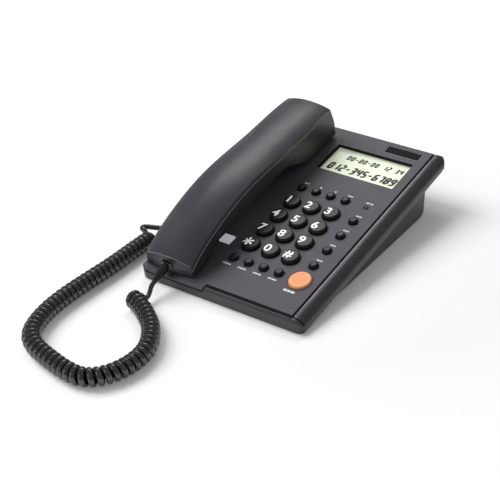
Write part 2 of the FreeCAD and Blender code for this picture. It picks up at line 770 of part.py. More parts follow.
def make_feet():
    foot = turned("foot", (("0", "0"), ("foot_radius", "0", "foot_proud / 2"),
                           ("foot_radius", "foot_proud + foot_sink"), ("0", "foot_proud + foot_sink")))
    node(screw_group("feet", [(x, y, "0") for x, y in foot_places()], foot), "rubber_feet")


def screw_profile(radius, length, head, height):
    """Pan head below the seat at height 0 and a plain shank above it."""
    return (("0", f"-{height}"), (head, f"-{height}", f"{height} / 3"), (head, "0"), (radius, "0"),
            (radius, length), ("0", length))


def make_base_screws():
    profile = screw_profile("screw_radius", "screw_length", "screw_head", "screw_head_height")
    places = [(x, y, SCREW_SEAT) for x, y in post_places()]
    node(screw_group("base_screw_set", places, turned("housing_screw", profile)), "housing_screws")
    profile = screw_profile("board_screw_radius", "board_thickness + board_screw_length - 1",
                            "board_screw_head", "board_screw_head_height")
    small = turned("board_screw", profile)
    places = [(x, v, BOARD_BOTTOM) for x, v in board_post_places()]
    node(on_panel(screw_group("board_screw_set", places, small)), "board_screws")


def make_display():
    margin = "lens_margin"
    x = ("display_x - lens_margin", "display_x + display_width + lens_margin")
    v = (f"display_v - {margin}", f"display_v + display_length + {margin}")
    top = "(-plate_thickness - lens_thickness)"
    node(panel_block("lens_sheet", x, v, (top, "-plate_thickness")), "lcd_lens")
    node(panel_block("module_block", x, v, (f"{top} - module_thickness", top)), "lcd_module")
    plate = panel_block("bare_plate", ("name_x + name_gap", "name_x + name_width - name_gap"),
                        ("name_v + name_gap", "name_v + name_length - name_gap"),
                        ("-name_depth", "-name_gap"))
    node(plate, "name_plate")


def make_lamps():
    flange = block("lamp_foot", span("lamp_x", "lamp_side", "lamp_flange"),
                   span("lamp_v", "lamp_side", "lamp_flange"),
                   ("-plate_thickness - key_flange_thickness", "-plate_thickness"))
    window = block("lamp_window", span("lamp_x", "lamp_side"), span("lamp_v", "lamp_side"),
                   ("-plate_thickness - key_flange_thickness", "lamp_rise"))
    node(on_panel(fuse("lamp", flange, window)), "ring_lamp_lens")
    height = f"led_rise - {BOARD_TOP}"
    led = turned("led", (("0", "0"), ("led_radius", "0"), ("led_radius", height, "led_radius / 2"),
                         ("0", height)))
    node(on_panel(led, "side_x", "top_row_v", BOARD_TOP), "in_use_led")


def make_boards():
    inset = "2 * board_post_inset + board_post_radius / 2"
    sheet_block = block("membrane_block", ("membrane_left", "membrane_right"),
                        (f"board_front + {inset}", f"board_back - {inset}"), (BOARD_TOP, MEMBRANE_TOP))
    hole = "board_post_radius + key_gap"
    reliefs = [disc(f"membrane_relief_{index}", x, v, ("-slab_depth", "0"), hole)
               for index, (x, v) in enumerate(board_post_places())]
    led_hole = disc("membrane_led_hole", "side_x", "top_row_v", ("-slab_depth", "0"), "led_radius + key_gap")
    node(on_panel(cut("membrane", sheet_block, led_hole, *reliefs)), "keypad_membrane")
    slab = block("board_block", ("board_left", "board_right"), ("board_front", "board_back"),
                 (BOARD_BOTTOM, BOARD_TOP))
    holes = [disc(f"board_hole_{index}", x, v, ("-slab_depth", "0"), "board_screw_radius + screw_gap")
             for index, (x, v) in enumerate(board_post_places())]
    node(on_panel(cut("board", slab, *holes)), "main_board")


def make_sound():
    cone_top = "(speaker_height - magnet_height)"
    speaker = turned("speaker", (
        ("0", "0"), ("speaker_radius", "0"), ("speaker_radius", "speaker_rim"), ("magnet_radius", cone_top),
        ("magnet_radius", "speaker_height"), ("0", "speaker_height")))
    put(speaker, "speaker_x", SPEAKER_Y, FLOOR_TOP)
    node(speaker, "loudspeaker")
    mic = turned("base_mic", (("0", "0"), ("base_mic_radius", "0"), ("base_mic_radius", "base_mic_height"),
                              ("0", "base_mic_height")))
    put(mic, "base_mic_x", f"{Y_FRONT} + base_mic_front", FLOOR_TOP)
    node(mic, "base_microphone")


def make_hook():
    stem = block("plunger_stem", span("handset_x", "plunger_width"), span("ear_v", "plunger_length"),
                 (FLANGE_BOTTOM, "-ear_cup_depth"))
    flange = block("plunger_foot", span("handset_x", "plunger_width + 2 * plunger_flange"),
                   span("ear_v", "plunger_length"), (FLANGE_BOTTOM, FLANGE_TOP))
    node(on_panel(fuse("plunger", stem, flange)), "hook_plunger")
    switch = block("switch_block", span("handset_x", "switch_width"), span("ear_v", "switch_length"),
                   (f"{GUIDE_BOTTOM} - switch_height", GUIDE_BOTTOM))
    tip = block("switch_tip", span("handset_x", "switch_length"), span("ear_v", "switch_length / 2"),
                (GUIDE_BOTTOM, f"{FLANGE_BOTTOM} - plunger_gap"))
    node(on_panel(fuse("switch", switch, tip)), "hook_microswitch")


def make_base_sockets():
    x = span("line_jack_x", "line_jack_width")
    body = block("line_jack_block", x, (f"{Y_BACK} - line_jack_length", Y_BACK),
                 (LINE_JACK_Z, f"{LINE_JACK_Z} + line_jack_height"))
    port = block("line_port", span("line_jack_x", "line_port_width"),
                 (f"{Y_BACK} - line_port_depth", f"{Y_BACK} + 1"),
                 span(f"{LINE_JACK_Z} + line_jack_height / 2", "line_port_height"))
    node(cut("line_socket", body, port), "line_jack")
    block_body = block("cord_jack_block", (CORD_JACK_FACE, f"{CORD_JACK_FACE} + jack_length"),
                       span(CORD_JACK_Y, "jack_width"), (FLOOR_TOP, f"{FLOOR_TOP} + cord_jack_height"))
    cord_port = block("cord_port", (f"{CORD_JACK_FACE} - 1", f"{CORD_JACK_FACE} + port_depth"),
                      span(CORD_JACK_Y, "port_width"), span(CORD_JACK_Z, "port_height"))
    node(cut("cord_socket", block_body, cord_port), "cord_jack")
    face = f"({CORD_JACK_FACE} - plug_proud)"
    plug = block("base_plug_block", (face, f"{CORD_JACK_FACE} + port_depth - plug_gap"),
                 span(CORD_JACK_Y, "port_width", "-plug_gap"), span(CORD_JACK_Z, "port_height", "-plug_gap"))
    boot = make_boot("base_boot", "base_boot_length")
    boot.Placement = FreeCAD.Placement(Vector(), FreeCAD.Rotation(Vector(0, 1, 0), -90))
    put(boot, face, CORD_JACK_Y, CORD_JACK_Z)
    node(fuse("base_plug_parts", plug, boot), "base_plug")


def make_boot(name, length):
    """Tapered strain relief that ends just wider than the cord."""
    boot = doc.addObject("Part::Cone", name)
    bind(boot, "Radius1", "boot_radius")
    bind(boot, "Radius2", "wire / 2 + plug_gap")
    bind(boot, "Height", length)
    return boot


# Handset, in panel coordinates

def crest_section(name, letter, half, edge, apex):
    """Cross-section with drafted sides and a crowned top, closed well under the panel."""
    low = "-2 * slab_depth"
    wide = f"({half} + handset_draft * ({edge} - ({low})))"
    sketch = doc.addObject("Sketcher::SketchObject", f"{name}_{letter}")
    sketch.Placement = FreeCAD.Placement(Vector(), SECTION)
    put(sketch, "handset_x", f"handset_v + crest_at_{letter} * handset_length", "0")
    corners = ((f"-{wide}", low), (wide, low), (half, edge), (f"-({half})", edge))
    points = [Vector(number(x), number(n), 0) for x, n in corners]
    for start, end in ((0, 1), (1, 2)):
        sketch.addGeometry(Part.LineSegment(points[start], points[end]))
    sketch.addGeometry(Part.Arc(points[2], Vector(0, number(apex), 0), points[3]))
    sketch.addGeometry(Part.LineSegment(points[3], points[0]))
    for first, second in ((0, 1), (1, 2), (2, 3), (3, 0)):
        sketch.addConstraint(Sketcher.Constraint("Coincident", first, 2, second, 1))
    for index, (x, n) in enumerate(corners):
        fix(sketch, (index, 1), x, n)
    rise = f"({apex} - ({edge}))"
    size_constraint(sketch, "Radius", 2, f"(({half})^2 + {rise}^2) / (2 * {rise})")
    return sketch


def parting_section(letter):
    """Everything under the joint between the cover and the shell."""
    top = f"crest_edge_{letter} - cover_depth"
    low = "-4 * slab_depth"
    return outline(f"parting_{letter}", SECTION, (
        ("-base_width", low), ("base_width", low), ("base_width", top), ("-base_width", top)),
        x="handset_x", v=f"handset_v + crest_at_{letter} * handset_length")


def handset_side(name, gap, reach):
    """Outline of the handset seen from the side, drawn in by a wall."""
    front, end = f"handset_v + {gap}", f"{HANDSET_END} - {gap}"
    top = "base_width / 3"
    corners = (
        (front, f"handset_seat + {gap}"), (f"mouth_to + {gap} / 4", f"handset_seat + {gap}", "grip_bend / 3"),
        (f"grip_from + {gap} / 4", f"grip_rise + {gap}", "grip_bend"),
        (f"grip_to - {gap} / 4", f"grip_rise + {gap}", "grip_bend"),
        (f"ear_from - {gap} / 4", f"ear_seat + {gap}", "grip_bend / 2"),
        (f"{end} - 0.6", f"ear_seat + {gap}"), (f"{end} - 2.7", "16", "grip_bend / 2"),
        (f"{end} - 12", top), (front, top))
    sketch = outline(name, SIDE, corners, x=f"handset_x - {reach}")
    return extrude(f"{name}_body", sketch, ACROSS, f"2 * ({reach})")


def make_handset_forms():
    """The outer form, the space inside it and what lies under the cover's joint."""
    letters = "abcdefgh"
    outer, inner = [], []
    for letter in letters:
        edge, crown = f"crest_edge_{letter}", f"crest_crown_{letter}"
        outer.append(crest_section("crest", letter, "handset_half_width", edge, f"{edge} + {crown}"))
        inner.append(crest_section("crest_inside", letter, "handset_half_width - handset_wall",
                                   f"{edge} - handset_wall / 2", f"{edge} + {crown} - handset_wall"))
    bow = disc("handset_bow", "handset_x", "handset_v + handset_length / 2",
               ("-slab_depth", "base_width / 2"), "handset_length / 2")
    profile = handset_side("handset_profile", "0", "base_width / 4")
    form = common("handset_form", loft("crest_body", outer), profile, bow)
    space = common("handset_space", loft("crest_space", inner),
                   handset_side("handset_inside", "handset_wall", "base_width / 4"))
    under = loft("under_cover", [parting_section(letter) for letter in letters])
    return form, space, under


def handset_screw_places():
    return [("handset_x", "handset_screw_front"), ("handset_x", "handset_screw_back")]


def socket_opening():
    return block("socket_opening", span("handset_x", "port_width", "plug_gap"),
                 ("handset_v - handset_wall", "handset_v + 2 * handset_wall"),
                 span("handset_jack_n", "port_height", "plug_gap"))


def make_handset_cover(form, space, under):
    posts, pilots = [], []
    for index, (x, v) in enumerate(handset_screw_places()):
        posts.append(disc(f"cover_post_{index}", x, v, (GRIP_FLOOR, "base_width / 2"), "handset_post_radius"))
        depth = f"{GRIP_FLOOR} - 1", f"{GRIP_FLOOR} + handset_screw_length"
        pilots.append(disc(f"cover_pilot_{index}", x, v, depth, "handset_screw_radius + screw_gap / 4"))
    lid = cut("cover_lid", form, under, space)
    kept = common("cover_posts", form, fuse("cover_post_pair", *posts))
    cover = cut("cover", fuse("cover_with_posts", lid, kept), socket_opening(), *pilots)
    return node(on_panel(cover), "handset_cover")


def mouth_block(name, gap, half, floor, top):
    """The raised pad round the microphone, seen from the side and drawn in by a wall."""
    front, end = f"handset_v + {gap}", f"mouth_end - {gap}"
    corners = ((front, floor), (end, floor), (f"{end} + 4", f"{floor} + 5"), (f"{end} + 4", top),
               (f"{front} + 14", top), (front, f"{floor} + 5"))
    sketch = outline(name, SIDE, corners, x=f"handset_x - ({half})")
    return extrude(f"{name}_body", sketch, ACROSS, f"2 * ({half})")


def make_handset_shell(form, space, under):
    ear = disc("ear_pad", "handset_x", "ear_v", ("ear_pad_bottom", "ear_seat + handset_wall"),
               "ear_pad_radius")
    mouth = mouth_block("mouth_pad", "fit_gap", "mouth_half_width", "handset_seat", "12")
    lower = common("shell_form", fuse("shell_parts", form, ear, mouth), under)
    tools = [
        space,
        disc("receiver_space", "handset_x", "ear_v", (EAR_FLOOR, "ear_seat + 2 * handset_wall"),
             "ear_pad_radius - handset_wall + fit_gap"),
        mouth_block("mouth_space", "handset_wall", "mouth_half_width - handset_wall",
                    "handset_seat + mouth_floor", "14"),
        socket_opening(),
    ]
    for index, (x, v) in enumerate(handset_screw_places()):
        tools.append(disc(f"shell_head_{index}", x, v, ("0", "grip_rise + handset_screw_head_height"),
                          "handset_screw_head + screw_gap"))
        tools.append(disc(f"shell_shank_{index}", x, v, ("0", f"{GRIP_FLOOR} + 1"),
                          "handset_screw_radius + screw_gap"))
    for index in range(7):
        radius = "0" if index == 0 else "ear_hole_ring"
        tools.append(disc(f"ear_hole_{index}", f"handset_x + {radius} * cos({60 * index})",
                          f"ear_v + {radius} * sin({60 * index})", ("-slab_depth", "ear_seat"),
                          "ear_hole_radius"))
    for index in (-1, 0, 1):
        tools.append(disc(f"mouth_hole_{index + 1}", f"handset_x + {index} * mic_radius / 2", "mic_v",
                          ("-slab_depth", "handset_seat + 2 * mouth_floor"), "sound_hole_radius"))
    return node(on_panel(cut("shell", lower, *tools)), "handset_shell")


def make_handset_inside():
    ring = disc("seal_disc", "handset_x", "ear_v", (EAR_FLOOR, f"{EAR_FLOOR} + seal_thickness"),
                "receiver_radius")
    bore = disc("seal_bore", "handset_x", "ear_v", ("-slab_depth", "slab_depth"),
                "receiver_radius - seal_width")
    node(on_panel(cut("seal", ring, bore)), "receiver_seal")
    height = "receiver_height"
    receiver = turned("receiver", (("0", "0"), ("receiver_radius", "0"), ("receiver_radius", f"{height} / 2"),
                                   (f"receiver_radius - {height} / 2", height), ("0", height)))
    node(on_panel(receiver, "handset_x", "ear_v", f"{EAR_FLOOR} + seal_thickness"), "receiver_capsule")
    mic = turned("microphone", (("0", "0"), ("mic_radius", "0"), ("mic_radius", "mic_height"),
                                ("0", "mic_height")))
    node(on_panel(mic, "handset_x", "mic_v", "handset_seat + mouth_floor"), "microphone_capsule")
    weight = panel_block("weight_block", span("handset_x", "weight_width"),
                         span("(handset_screw_front + handset_screw_back) / 2", "weight_length"),
                         (GRIP_FLOOR, f"{GRIP_FLOOR} + weight_height"))
    node(weight, "handset_weight")
    profile = screw_profile("handset_screw_radius", "handset_screw_length", "handset_screw_head",
                            "handset_screw_head_height - screw_gap")
    screw = turned("handset_screw", profile)
    places = [(x, v, "grip_rise + handset_screw_head_height") for x, v in handset_screw_places()]
    node(on_panel(screw_group("handset_screw_set", places, screw)), "handset_screws")


def make_handset_socket():
    body = block("handset_jack_block", span("handset_x", "jack_width"), (JACK_V, f"{JACK_V} + jack_length"),
                 span("handset_jack_n", "jack_height"))
    port = block("handset_port", span("handset_x", "port_width"), (f"{JACK_V} - 1", f"{JACK_V} + port_depth"),
                 span("handset_jack_n", "port_height"))
    node(on_panel(cut("handset_socket", body, port)), "handset_jack")
    face = "(handset_v - plug_proud)"
    plug = block("handset_plug_block", span("handset_x", "port_width", "-plug_gap"),
                 (face, f"{JACK_V} + port_depth - plug_gap"),
                 span("handset_jack_n", "port_height", "-plug_gap"))
    boot = make_boot("handset_boot", "boot_length")
    boot.Placement = FreeCAD.Placement(Vector(), FreeCAD.Rotation(ACROSS, number("90 + boot_droop")))
    bind(boot, "Placement.Rotation.Angle", "90 + boot_droop")
    put(boot, "handset_x", face, "handset_jack_n")
    node(on_panel(fuse("handset_plug_parts", plug, boot)), "handset_plug")


# Cord: one curled tube on the table and the two plain leads at its ends

def route_point(x, y, z):
    """A place measured from the front left corner of the base."""
    return Vector(number("-base_width / 2") + x, number(Y_FRONT) + y, z)


def coil_line():
    """Smooth middle line of the coil, a clamped quadratic curve over the route's points."""
    height = number("coil_outside / 2 + floor_gap")
    poles = [route_point(x, y, height) for x, y in COIL_ROUTE]
    inner = len(poles) - 2
    line = Part.BSplineCurve()
    line.buildFromPolesMultsKnots(poles, [3] + [1] * (inner - 1) + [3], list(range(inner + 1)), False, 2)
    return line


def coil_pitch(length):
    """Distance between curls where they lie evenly."""
    return (length - number("uncoil_length") / 2) / number("curl_count - leave_early / 360")


def coil_point(line, length, along):
    """Point of the wire at a distance along the middle line; its last curls draw out straight."""
    ease = number("uncoil_length")
    pitch = coil_pitch(length)
    late = max(0.0, along - (length - ease))
    turn = math.pi / 2 + 2 * math.pi / pitch * (along - late ** 2 / (2 * ease))
    start = line.FirstParameter
    where = line.parameterAtDistance(min(along, length), start) if along > 0 else start
    ahead = line.tangent(where)[0]
    side = UP_N.cross(ahead)
    radius = number("(coil_outside - wire) / 2")
    return line.value(where) + side * (radius * math.cos(turn)) + UP_N * (radius * math.sin(turn))


def coil_stations(length):
    """Distances along the middle line, four to a curl and closer where the last curls draw out."""
    ease = number("uncoil_length")
    pitch = coil_pitch(length)
    even = [index * pitch / 4 for index in range(int((length - ease) / (pitch / 4)) + 1)]
    steps = 16
    rest = length - even[-1]
    return even + [even[-1] + rest * (index + 1) / steps for index in range(steps)]


def biarc(start, way_out, end, way_in):
    """Two arcs that leave one point and reach the next along the given directions."""
    chord = end - start
    ways = way_out + way_in
    square = 2 * (1 - way_out.dot(way_in))
    lean = chord.dot(ways)
    reach = (-lean + math.sqrt(lean ** 2 + square * chord.dot(chord))) / square
    joint = (start + end + (way_out - way_in) * reach) / 2
    arcs = []
    for point, corner, far in ((start, start + way_out * reach, joint), (joint, end - way_in * reach, end)):
        half = (point - corner).normalize().getAngle((far - corner).normalize()) / 2
        middle = ((point + far) / 2 - corner).normalize()
        radius = (point - corner).Length * math.tan(half)
        crest = corner + middle * (radius / math.sin(half) - radius)
        arcs.append(Part.Arc(point, crest, far).toShape())
    return arcs


def sweep_wire(path, start, way):
    """A round tube along a path of tangent edges."""
    ring = Part.Wire(Part.Circle(start, way, number("wire / 2")).toShape())
    pipe = Part.BRepOffsetAPI.MakePipeShell(path)
    pipe.add(ring)
    pipe.build()
    pipe.makeSolid()
    return pipe.shape()


def report_gap(points):
    """Print the least distance between the wire and itself, more than half a curl of wire away."""
    half_curl = math.pi * number("(coil_outside - wire) / 2")
    least, travelled = math.inf, [0.0]
    for before, after in zip(points, points[1:]):
        travelled.append(travelled[-1] + (after - before).Length)
    for first, point in enumerate(points):
        for second in range(first + 1, len(points)):
            if half_curl < travelled[second] - travelled[first] < 6 * half_curl:
                least = min(least, (points[second] - point).Length)
    print(f"curly cord: least gap to itself {least - number('wire'):.2f} mm")


def make_coil():
    """The curly cord, with a straight stub as long as the wire is thick at each end."""
    line = coil_line()
    length = line.length()
    stations = coil_stations(length)
    fine = 1e-3
    points, ways = [], []
    for along in stations:
        low, high = max(0.0, along - fine), min(length, along + fine)
        points.append(coil_point(line, length, along))
        ways.append((coil_point(line, length, high) - coil_point(line, length, low)).normalize())
    stub = number("wire")
    first, last = points[0] - ways[0] * stub, points[-1] + ways[-1] * stub
    edges = [Part.LineSegment(first, points[0]).toShape()]
    for index in range(len(points) - 1):
        edges += biarc(points[index], ways[index], points[index + 1], ways[index + 1])
    edges.append(Part.LineSegment(points[-1], last).toShape())
    path = Part.Wire(edges)
    coil = doc.addObject("Part::Feature", "coil")
    coil.Shape = sweep_wire(path, first, ways[0])
    coil.Placement = FreeCAD.Placement()
    node(coil, "curly_cord")
    per_curl = 24
    pitch = coil_pitch(length)
    count = int(per_curl * length / pitch)
    report_gap([coil_point(line, length, index * pitch / per_curl) for index in range(count)])
    print(f"curly cord: wire {path.Length:.0f} mm, pitch {pitch:.2f} mm, volume "
          f"{coil.Shape.Volume / (path.Length * math.pi * stub ** 2 / 4):.4f} of section times length")
    return (first, -ways[0]), (last, ways[-1])


def lead(name, label, points):
    """A plain tube of straight runs and the largest tangent arcs that they allow."""
    edges, here = [], points[0]
    for before, corner, after in zip(points, points[1:], points[2:]):
        back, on = (before - corner).normalize(), (after - corner).normalize()
        half = back.getAngle(on) / 2
        reach = 0.45 * min((before - corner).Length, (after - corner).Length)
        radius = reach * math.tan(half)
        crest = corner + (back + on).normalize() * (radius / math.sin(half) - radius)
        start, end = corner + back * reach, corner + on * reach
        edges.append(Part.LineSegment(here, start).toShape())
        edges.append(Part.Arc(start, crest, end).toShape())
        here = end
        print(f"{label}: bend radius {radius:.1f} mm")
    edges.append(Part.LineSegment(here, points[-1]).toShape())
    path = Part.Wire(edges)
    tube = doc.addObject("Part::Feature", name)
    tube.Shape = sweep_wire(path, points[0], (points[1] - points[0]).normalize())
    tube.Placement = FreeCAD.Placement()
    section = math.pi * number("wire") ** 2 / 4
    share = tube.Shape.Volume / (section * path.Length)
    print(f"{label}: {path.Length:.1f} mm, volume {share:.4f} of section times length")
    return node(tube, label)


def panel_point(x, v, n):
    """A place in panel coordinates moved to the part's own frame."""
    tilt = FreeCAD.Rotation(ACROSS, number("panel_tilt"))
    edge = Vector(0, number(Y_FRONT), number("front_height"))
    return tilt.multVec(Vector(number(x), number(v), number(n))) + edge


def boot_end(length):
    """A place on the line of the handset's strain relief, that far from the plug's face."""
    return panel_point("handset_x", f"handset_v - plug_proud - ({length}) * cos(boot_droop)",
                       f"handset_jack_n - ({length}) * sin(boot_droop)")


def coil_exit(end, way):
    """The end of the coil's stub, a hair off it, and the end of the straight run out of it."""
    return end + way * number("floor_gap"), end + way * number("lead_run")


def make_cord():
    start, end = make_coil()
    boot = [boot_end("boot_length + lead_run"), boot_end("boot_length")]
    lead("handset_tube", "handset_lead", [*coil_exit(*start), *boot])
    bends = [route_point(*point) for point in BASE_LEAD_ROUTE]
    face = f"{CORD_JACK_FACE} - plug_proud - base_boot_length"
    plug = Vector(number(face), number(CORD_JACK_Y), number(CORD_JACK_Z))
    lead("base_tube", "base_lead", [*coil_exit(*end), *bends, plug - ACROSS * number("base_lead_run"), plug])


def make_base():
    slab = make_slab()
    make_top_housing(slab)
    make_face_plate(slab)
    make_bottom_housing()
    make_feet()
    make_base_screws()
    make_display()
    make_lamps()
    make_boards()
    make_sound()
    make_hook()
    make_base_sockets()
    for key in key_list():
        make_key(*key)


def make_handset():
    form, space, under = make_handset_forms()
    make_handset_cover(form, space, under)
    make_handset_shell(form, space, under)
    make_handset_inside()
    make_handset_socket()


def write_parts():
    """Check every object and write each sub-part's solids to its own file."""
    doc.recompute()
    failed = [thing.Label for thing in doc.Objects if {"Invalid", "Error"} & set(thing.State)]
    sound = {thing.Label for thing in nodes if thing.Shape.isValid() and thing.Shape.Solids}
    wrong = [thing.Label for thing in nodes if thing.Label not in sound]
    if failed or wrong:
        raise RuntimeError(f"failed objects {failed}, unsound shapes {wrong}")
    os.makedirs("parts", exist_ok=True)
    for thing in nodes:
        thing.Shape.exportStep(os.path.join("parts", f"{thing.Label}.step"))
    print(f"{len(nodes)} sub-parts written")


fill_sheet()
make_base()
make_handset()
make_cord()
write_parts()
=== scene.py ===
"""Desk telephone with a curly handset cord: looks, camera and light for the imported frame."""
import json
import math

import bmesh
import bpy
from mathutils import Matrix, Vector
from mathutils.bvhtree import BVHTree


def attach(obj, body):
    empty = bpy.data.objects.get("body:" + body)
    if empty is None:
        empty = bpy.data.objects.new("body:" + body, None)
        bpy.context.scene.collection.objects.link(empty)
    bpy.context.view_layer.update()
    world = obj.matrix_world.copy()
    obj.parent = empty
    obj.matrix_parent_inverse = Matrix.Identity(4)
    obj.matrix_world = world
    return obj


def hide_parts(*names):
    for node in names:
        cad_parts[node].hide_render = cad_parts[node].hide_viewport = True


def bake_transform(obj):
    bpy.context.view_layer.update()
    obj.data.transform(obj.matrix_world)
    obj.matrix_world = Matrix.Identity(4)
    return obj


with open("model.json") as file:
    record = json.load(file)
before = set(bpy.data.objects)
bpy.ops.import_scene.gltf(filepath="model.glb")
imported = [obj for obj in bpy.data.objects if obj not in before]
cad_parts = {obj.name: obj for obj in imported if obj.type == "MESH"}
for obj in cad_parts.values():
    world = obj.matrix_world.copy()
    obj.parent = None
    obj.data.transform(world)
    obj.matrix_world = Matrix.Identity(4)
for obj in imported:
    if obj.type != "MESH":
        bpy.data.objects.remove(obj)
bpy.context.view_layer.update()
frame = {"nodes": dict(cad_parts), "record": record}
nodes = frame["nodes"]

MM = 0.001
# Camera, from the photograph's place
CAMERA_PLACE = (0.40345, -0.6860, 0.4768)
CAMERA_TARGET = (-0.0226, -0.0350, 0.0)
FOCAL_LENGTH = 87.23
SENSOR_WIDTH = 36.0
VIEW_END = 50.0
# Soft boxes: name, place, size, power in watts, and whether mirrored light shows them
LIGHT_TARGET = (-0.01, -0.03, 0.0)
LAMPS = (
    ("key_light", (-1.30, -0.30, 1.50), (1.3, 1.3), 33.5, False),
    ("back_light", (-0.50, 0.72, 1.02), (0.60, 0.45), 3.4, True),
    ("front_light", (-0.60, -1.07, 0.47), (0.45, 0.25), 1.1, True),
)
WORLD_LIGHT = 0.30
# Table top in metres: half its side, and the distances over which its shown glow grows
FLOOR_REACH = 6.0
FLOOR_CELLS = 24
FLOOR_TONES = (0.94, 0.94, 0.94), (0.96, 0.96, 0.96)
GLOW_NEAR, GLOW_FAR = 0.16, 1.0
GLOW_LOW, GLOW_HIGH = 0.08, 0.80

# Sloped panel of the base, as in the part: its tilt and the place of its front edge
TILT = math.radians(8.62)
SLAB_LENGTH = 221.2
SLAB_DEPTH = 16.6
HALF_WIDTH = 68.5
FRONT_Y = -(SLAB_LENGTH * math.cos(TILT) + SLAB_DEPTH * math.sin(TILT)) / 2
FRONT_Z = 10.1
PANEL = Matrix.Translation((0, FRONT_Y * MM, FRONT_Z * MM)) @ Matrix.Rotation(TILT, 4, "X")
UP = Vector((0, 0, 1))
DOWN = PANEL.to_3x3() @ Vector((0, 0, -1))

# Dial keys and rows of small keys on the panel: middles and pitches
DIAL_X = 8.05
DIAL_V = 56.9
DIAL_PITCH_X = 17.0
DIAL_PITCH_V = 19.18
DIAL_NAMES = ("1", "2", "3", "4", "5", "6", "7", "8", "9", "star", "0", "hash")
DIAL_SIGNS = {"star": "*", "hash": "#"}
SMALL_X = 7.05
SMALL_PITCH = 12.75
TOP_ROW_V = 134.0
BOTTOM_ROW_V = 38.9
SIDE_X = 43.85
# Heights above the panel from which rays look down at a key and at the whole telephone
KEY_RAY = 20.0
RAY_HEIGHT = 60.0
# How far print stands above its face, and a second layer above it
PRINT_LIFT = 0.03
SECOND_LIFT = 0.035
# Numbers on the dial keys: heights, weight, place beside the key's middle, and cells to follow its face
NUMBER_HEIGHT = 7.9
STAR_HEIGHT = 14.0
NUMBER_WEIGHT = 0.22
NUMBER_SHIFT = (-2.4, 0.3)
NUMBER_CELL = 0.7
FONT_SCALE = 1.37
# Strokes that stand for words: lengths, gap and heights
LABEL_PARTS = ((1.7, 1.0, 1.6), (1.1, 1.8, 1.0), (1.5, 1.5, 1.2), (0.9, 1.3, 1.9))
LABEL_GAP = 0.30
LABEL_HEIGHT = 1.5
LOWER_LABEL_HEIGHT = 1.6
SPEAKER_LABEL_HEIGHT = 2.3
ARROW_SIZE = 1.25
# How far the labels stand from their keys along the panel, and beside them
TOP_LABEL_V = 7.2
TOP_ARROW_V = 7.0
LED_LABEL_V = 5.6
SIDE_LABEL_V = 7.4
LOWER_LABEL_V = -7.4
SPEAKER_LABEL_V = -13.0
LABEL_X = 0.6
ARROW_X = 0.4
LOWER_LABEL_X = -1.2
SPEAKER_LABEL_X = -1.6
# Bed of the name plate across and along the panel, the level of the plate's face, and its thin frame
PLATE_BED = (20.45, 51.15), (204.8, 215.1)
PLATE_TOP = -0.15
FRAME_INSET = 0.40
FRAME_STROKE = 0.30
# Ring of the small lamp: inner and outer radius, and half its height
LED_RING = (1.7, 2.4, 0.2)
# Pale line painted on the rail as a highlight: place, depth of its middle and radius, and the dark line at
# the rail's front end
RAIL_X = 60.0
RAIL_DEPTH = 0.9
RAIL_RADIUS = 1.2
NOSE_RADIUS = 0.45
NOSE_STEP = 0.4
NOSE_COUNT = 26
# Length of the lines along the base, and where the rail's and the seam's start
BASE_RUN = 204.0
RAIL_START = 8.0
RAIL_COUNT = 12
SEAM_START = 10.0
SEAM_COUNT = 16
# Search for the seam down the slab's right wall: first level, step, count and how far the wall may lean in
SEAM_TOP = -2.0
SEAM_STEP = 0.1
SEAM_LEVELS = 150
SEAM_LEAN = 1.2
# Radius of the pale lines painted as highlights on the handset's cover and on the slab's seam
FRONT_EDGE_RADIUS = 0.36
SIDE_EDGE_RADIUS = 0.30
SEAM_RADIUS = 0.34
# Edges of the face plate, and the dark bands painted on it along its right and front as the shade of the
# groove beside them
PLATE_STEP_X = -13.5
PLATE_RIGHT = 57.6
PLATE_FRONT = 3.9
PLATE_BACK = 218.0
GROOVE_SHADE_WIDTH = 0.35
FRONT_GROOVE_SHADE_WIDTH = 1.7
# Display window across and along the panel, and the dark painted shade in it: depth, thickness and edges on
# the panel
WINDOW = (-15.05, 50.05), (163.7, 198.4)
WINDOW_SHADE_DEPTH = 2.15
WINDOW_SHADE_WALL = 0.25
WINDOW_SHADE_EASE = 0.02
BACK_WINDOW_SHADE_EDGE = 0.8
LEFT_WINDOW_SHADE_EDGE = 1.3
# Orange key: place along the panel, size and rise
SPEAKER_V = 38.5
SPEAKER_WIDTH = 16.0
SPEAKER_LENGTH = 18.3
SPEAKER_RISE = 2.0
# Rim on the orange key: distances from its edge, and levels about its top
SPEAKER_RIM = (2.2, 1.4, -0.3, 0.06)
# Handset: its middle across the panel and its width
HANDSET_X = -45.2
HANDSET_WIDTH = 39.5

# Cord: the curls swell to the tube's outside, and places are millimetres from the base's front left corner
CURL_WIRE = 4.7
BASE_LEAD_WIRE = 4.0
LEAD_WIRE = 3.4
COIL_RADIUS = 4.4
COIL_HEIGHT = 6.8
CURL_COUNT = 64.75
CURL_POINTS = 16
# Steps between a spline's control points, and fineness of the round tubes
ROUTE_STEPS = 24
CURL_STEPS = 4
LEAD_STEPS = 8
CURL_SIDES = 4
LEAD_SIDES = 14
BOOT_SIDES = 24
BEAD_SIDES = 10
# The handset's lead thins to its own size after this many coil widths
THIN_START = 2.4
COIL_ROUTE = (
    (20, -32.9), (28.5, -36), (38.5, -42.9), (51.5, -53.4), (63.5, -72.4), (65.5, -91.4),
    (60.5, -109.4), (49.5, -121.4), (34.5, -121.4), (16.5, -117.4), (-0.5, -112.4),
    (-11.5, -104.4), (-17.5, -91.4), (-21.5, -73.4), (-22.5, -53.4), (-21.5, -29.4),
    (-20, -4.4), (-20.5, 18.6), (-20, 40.6),
)
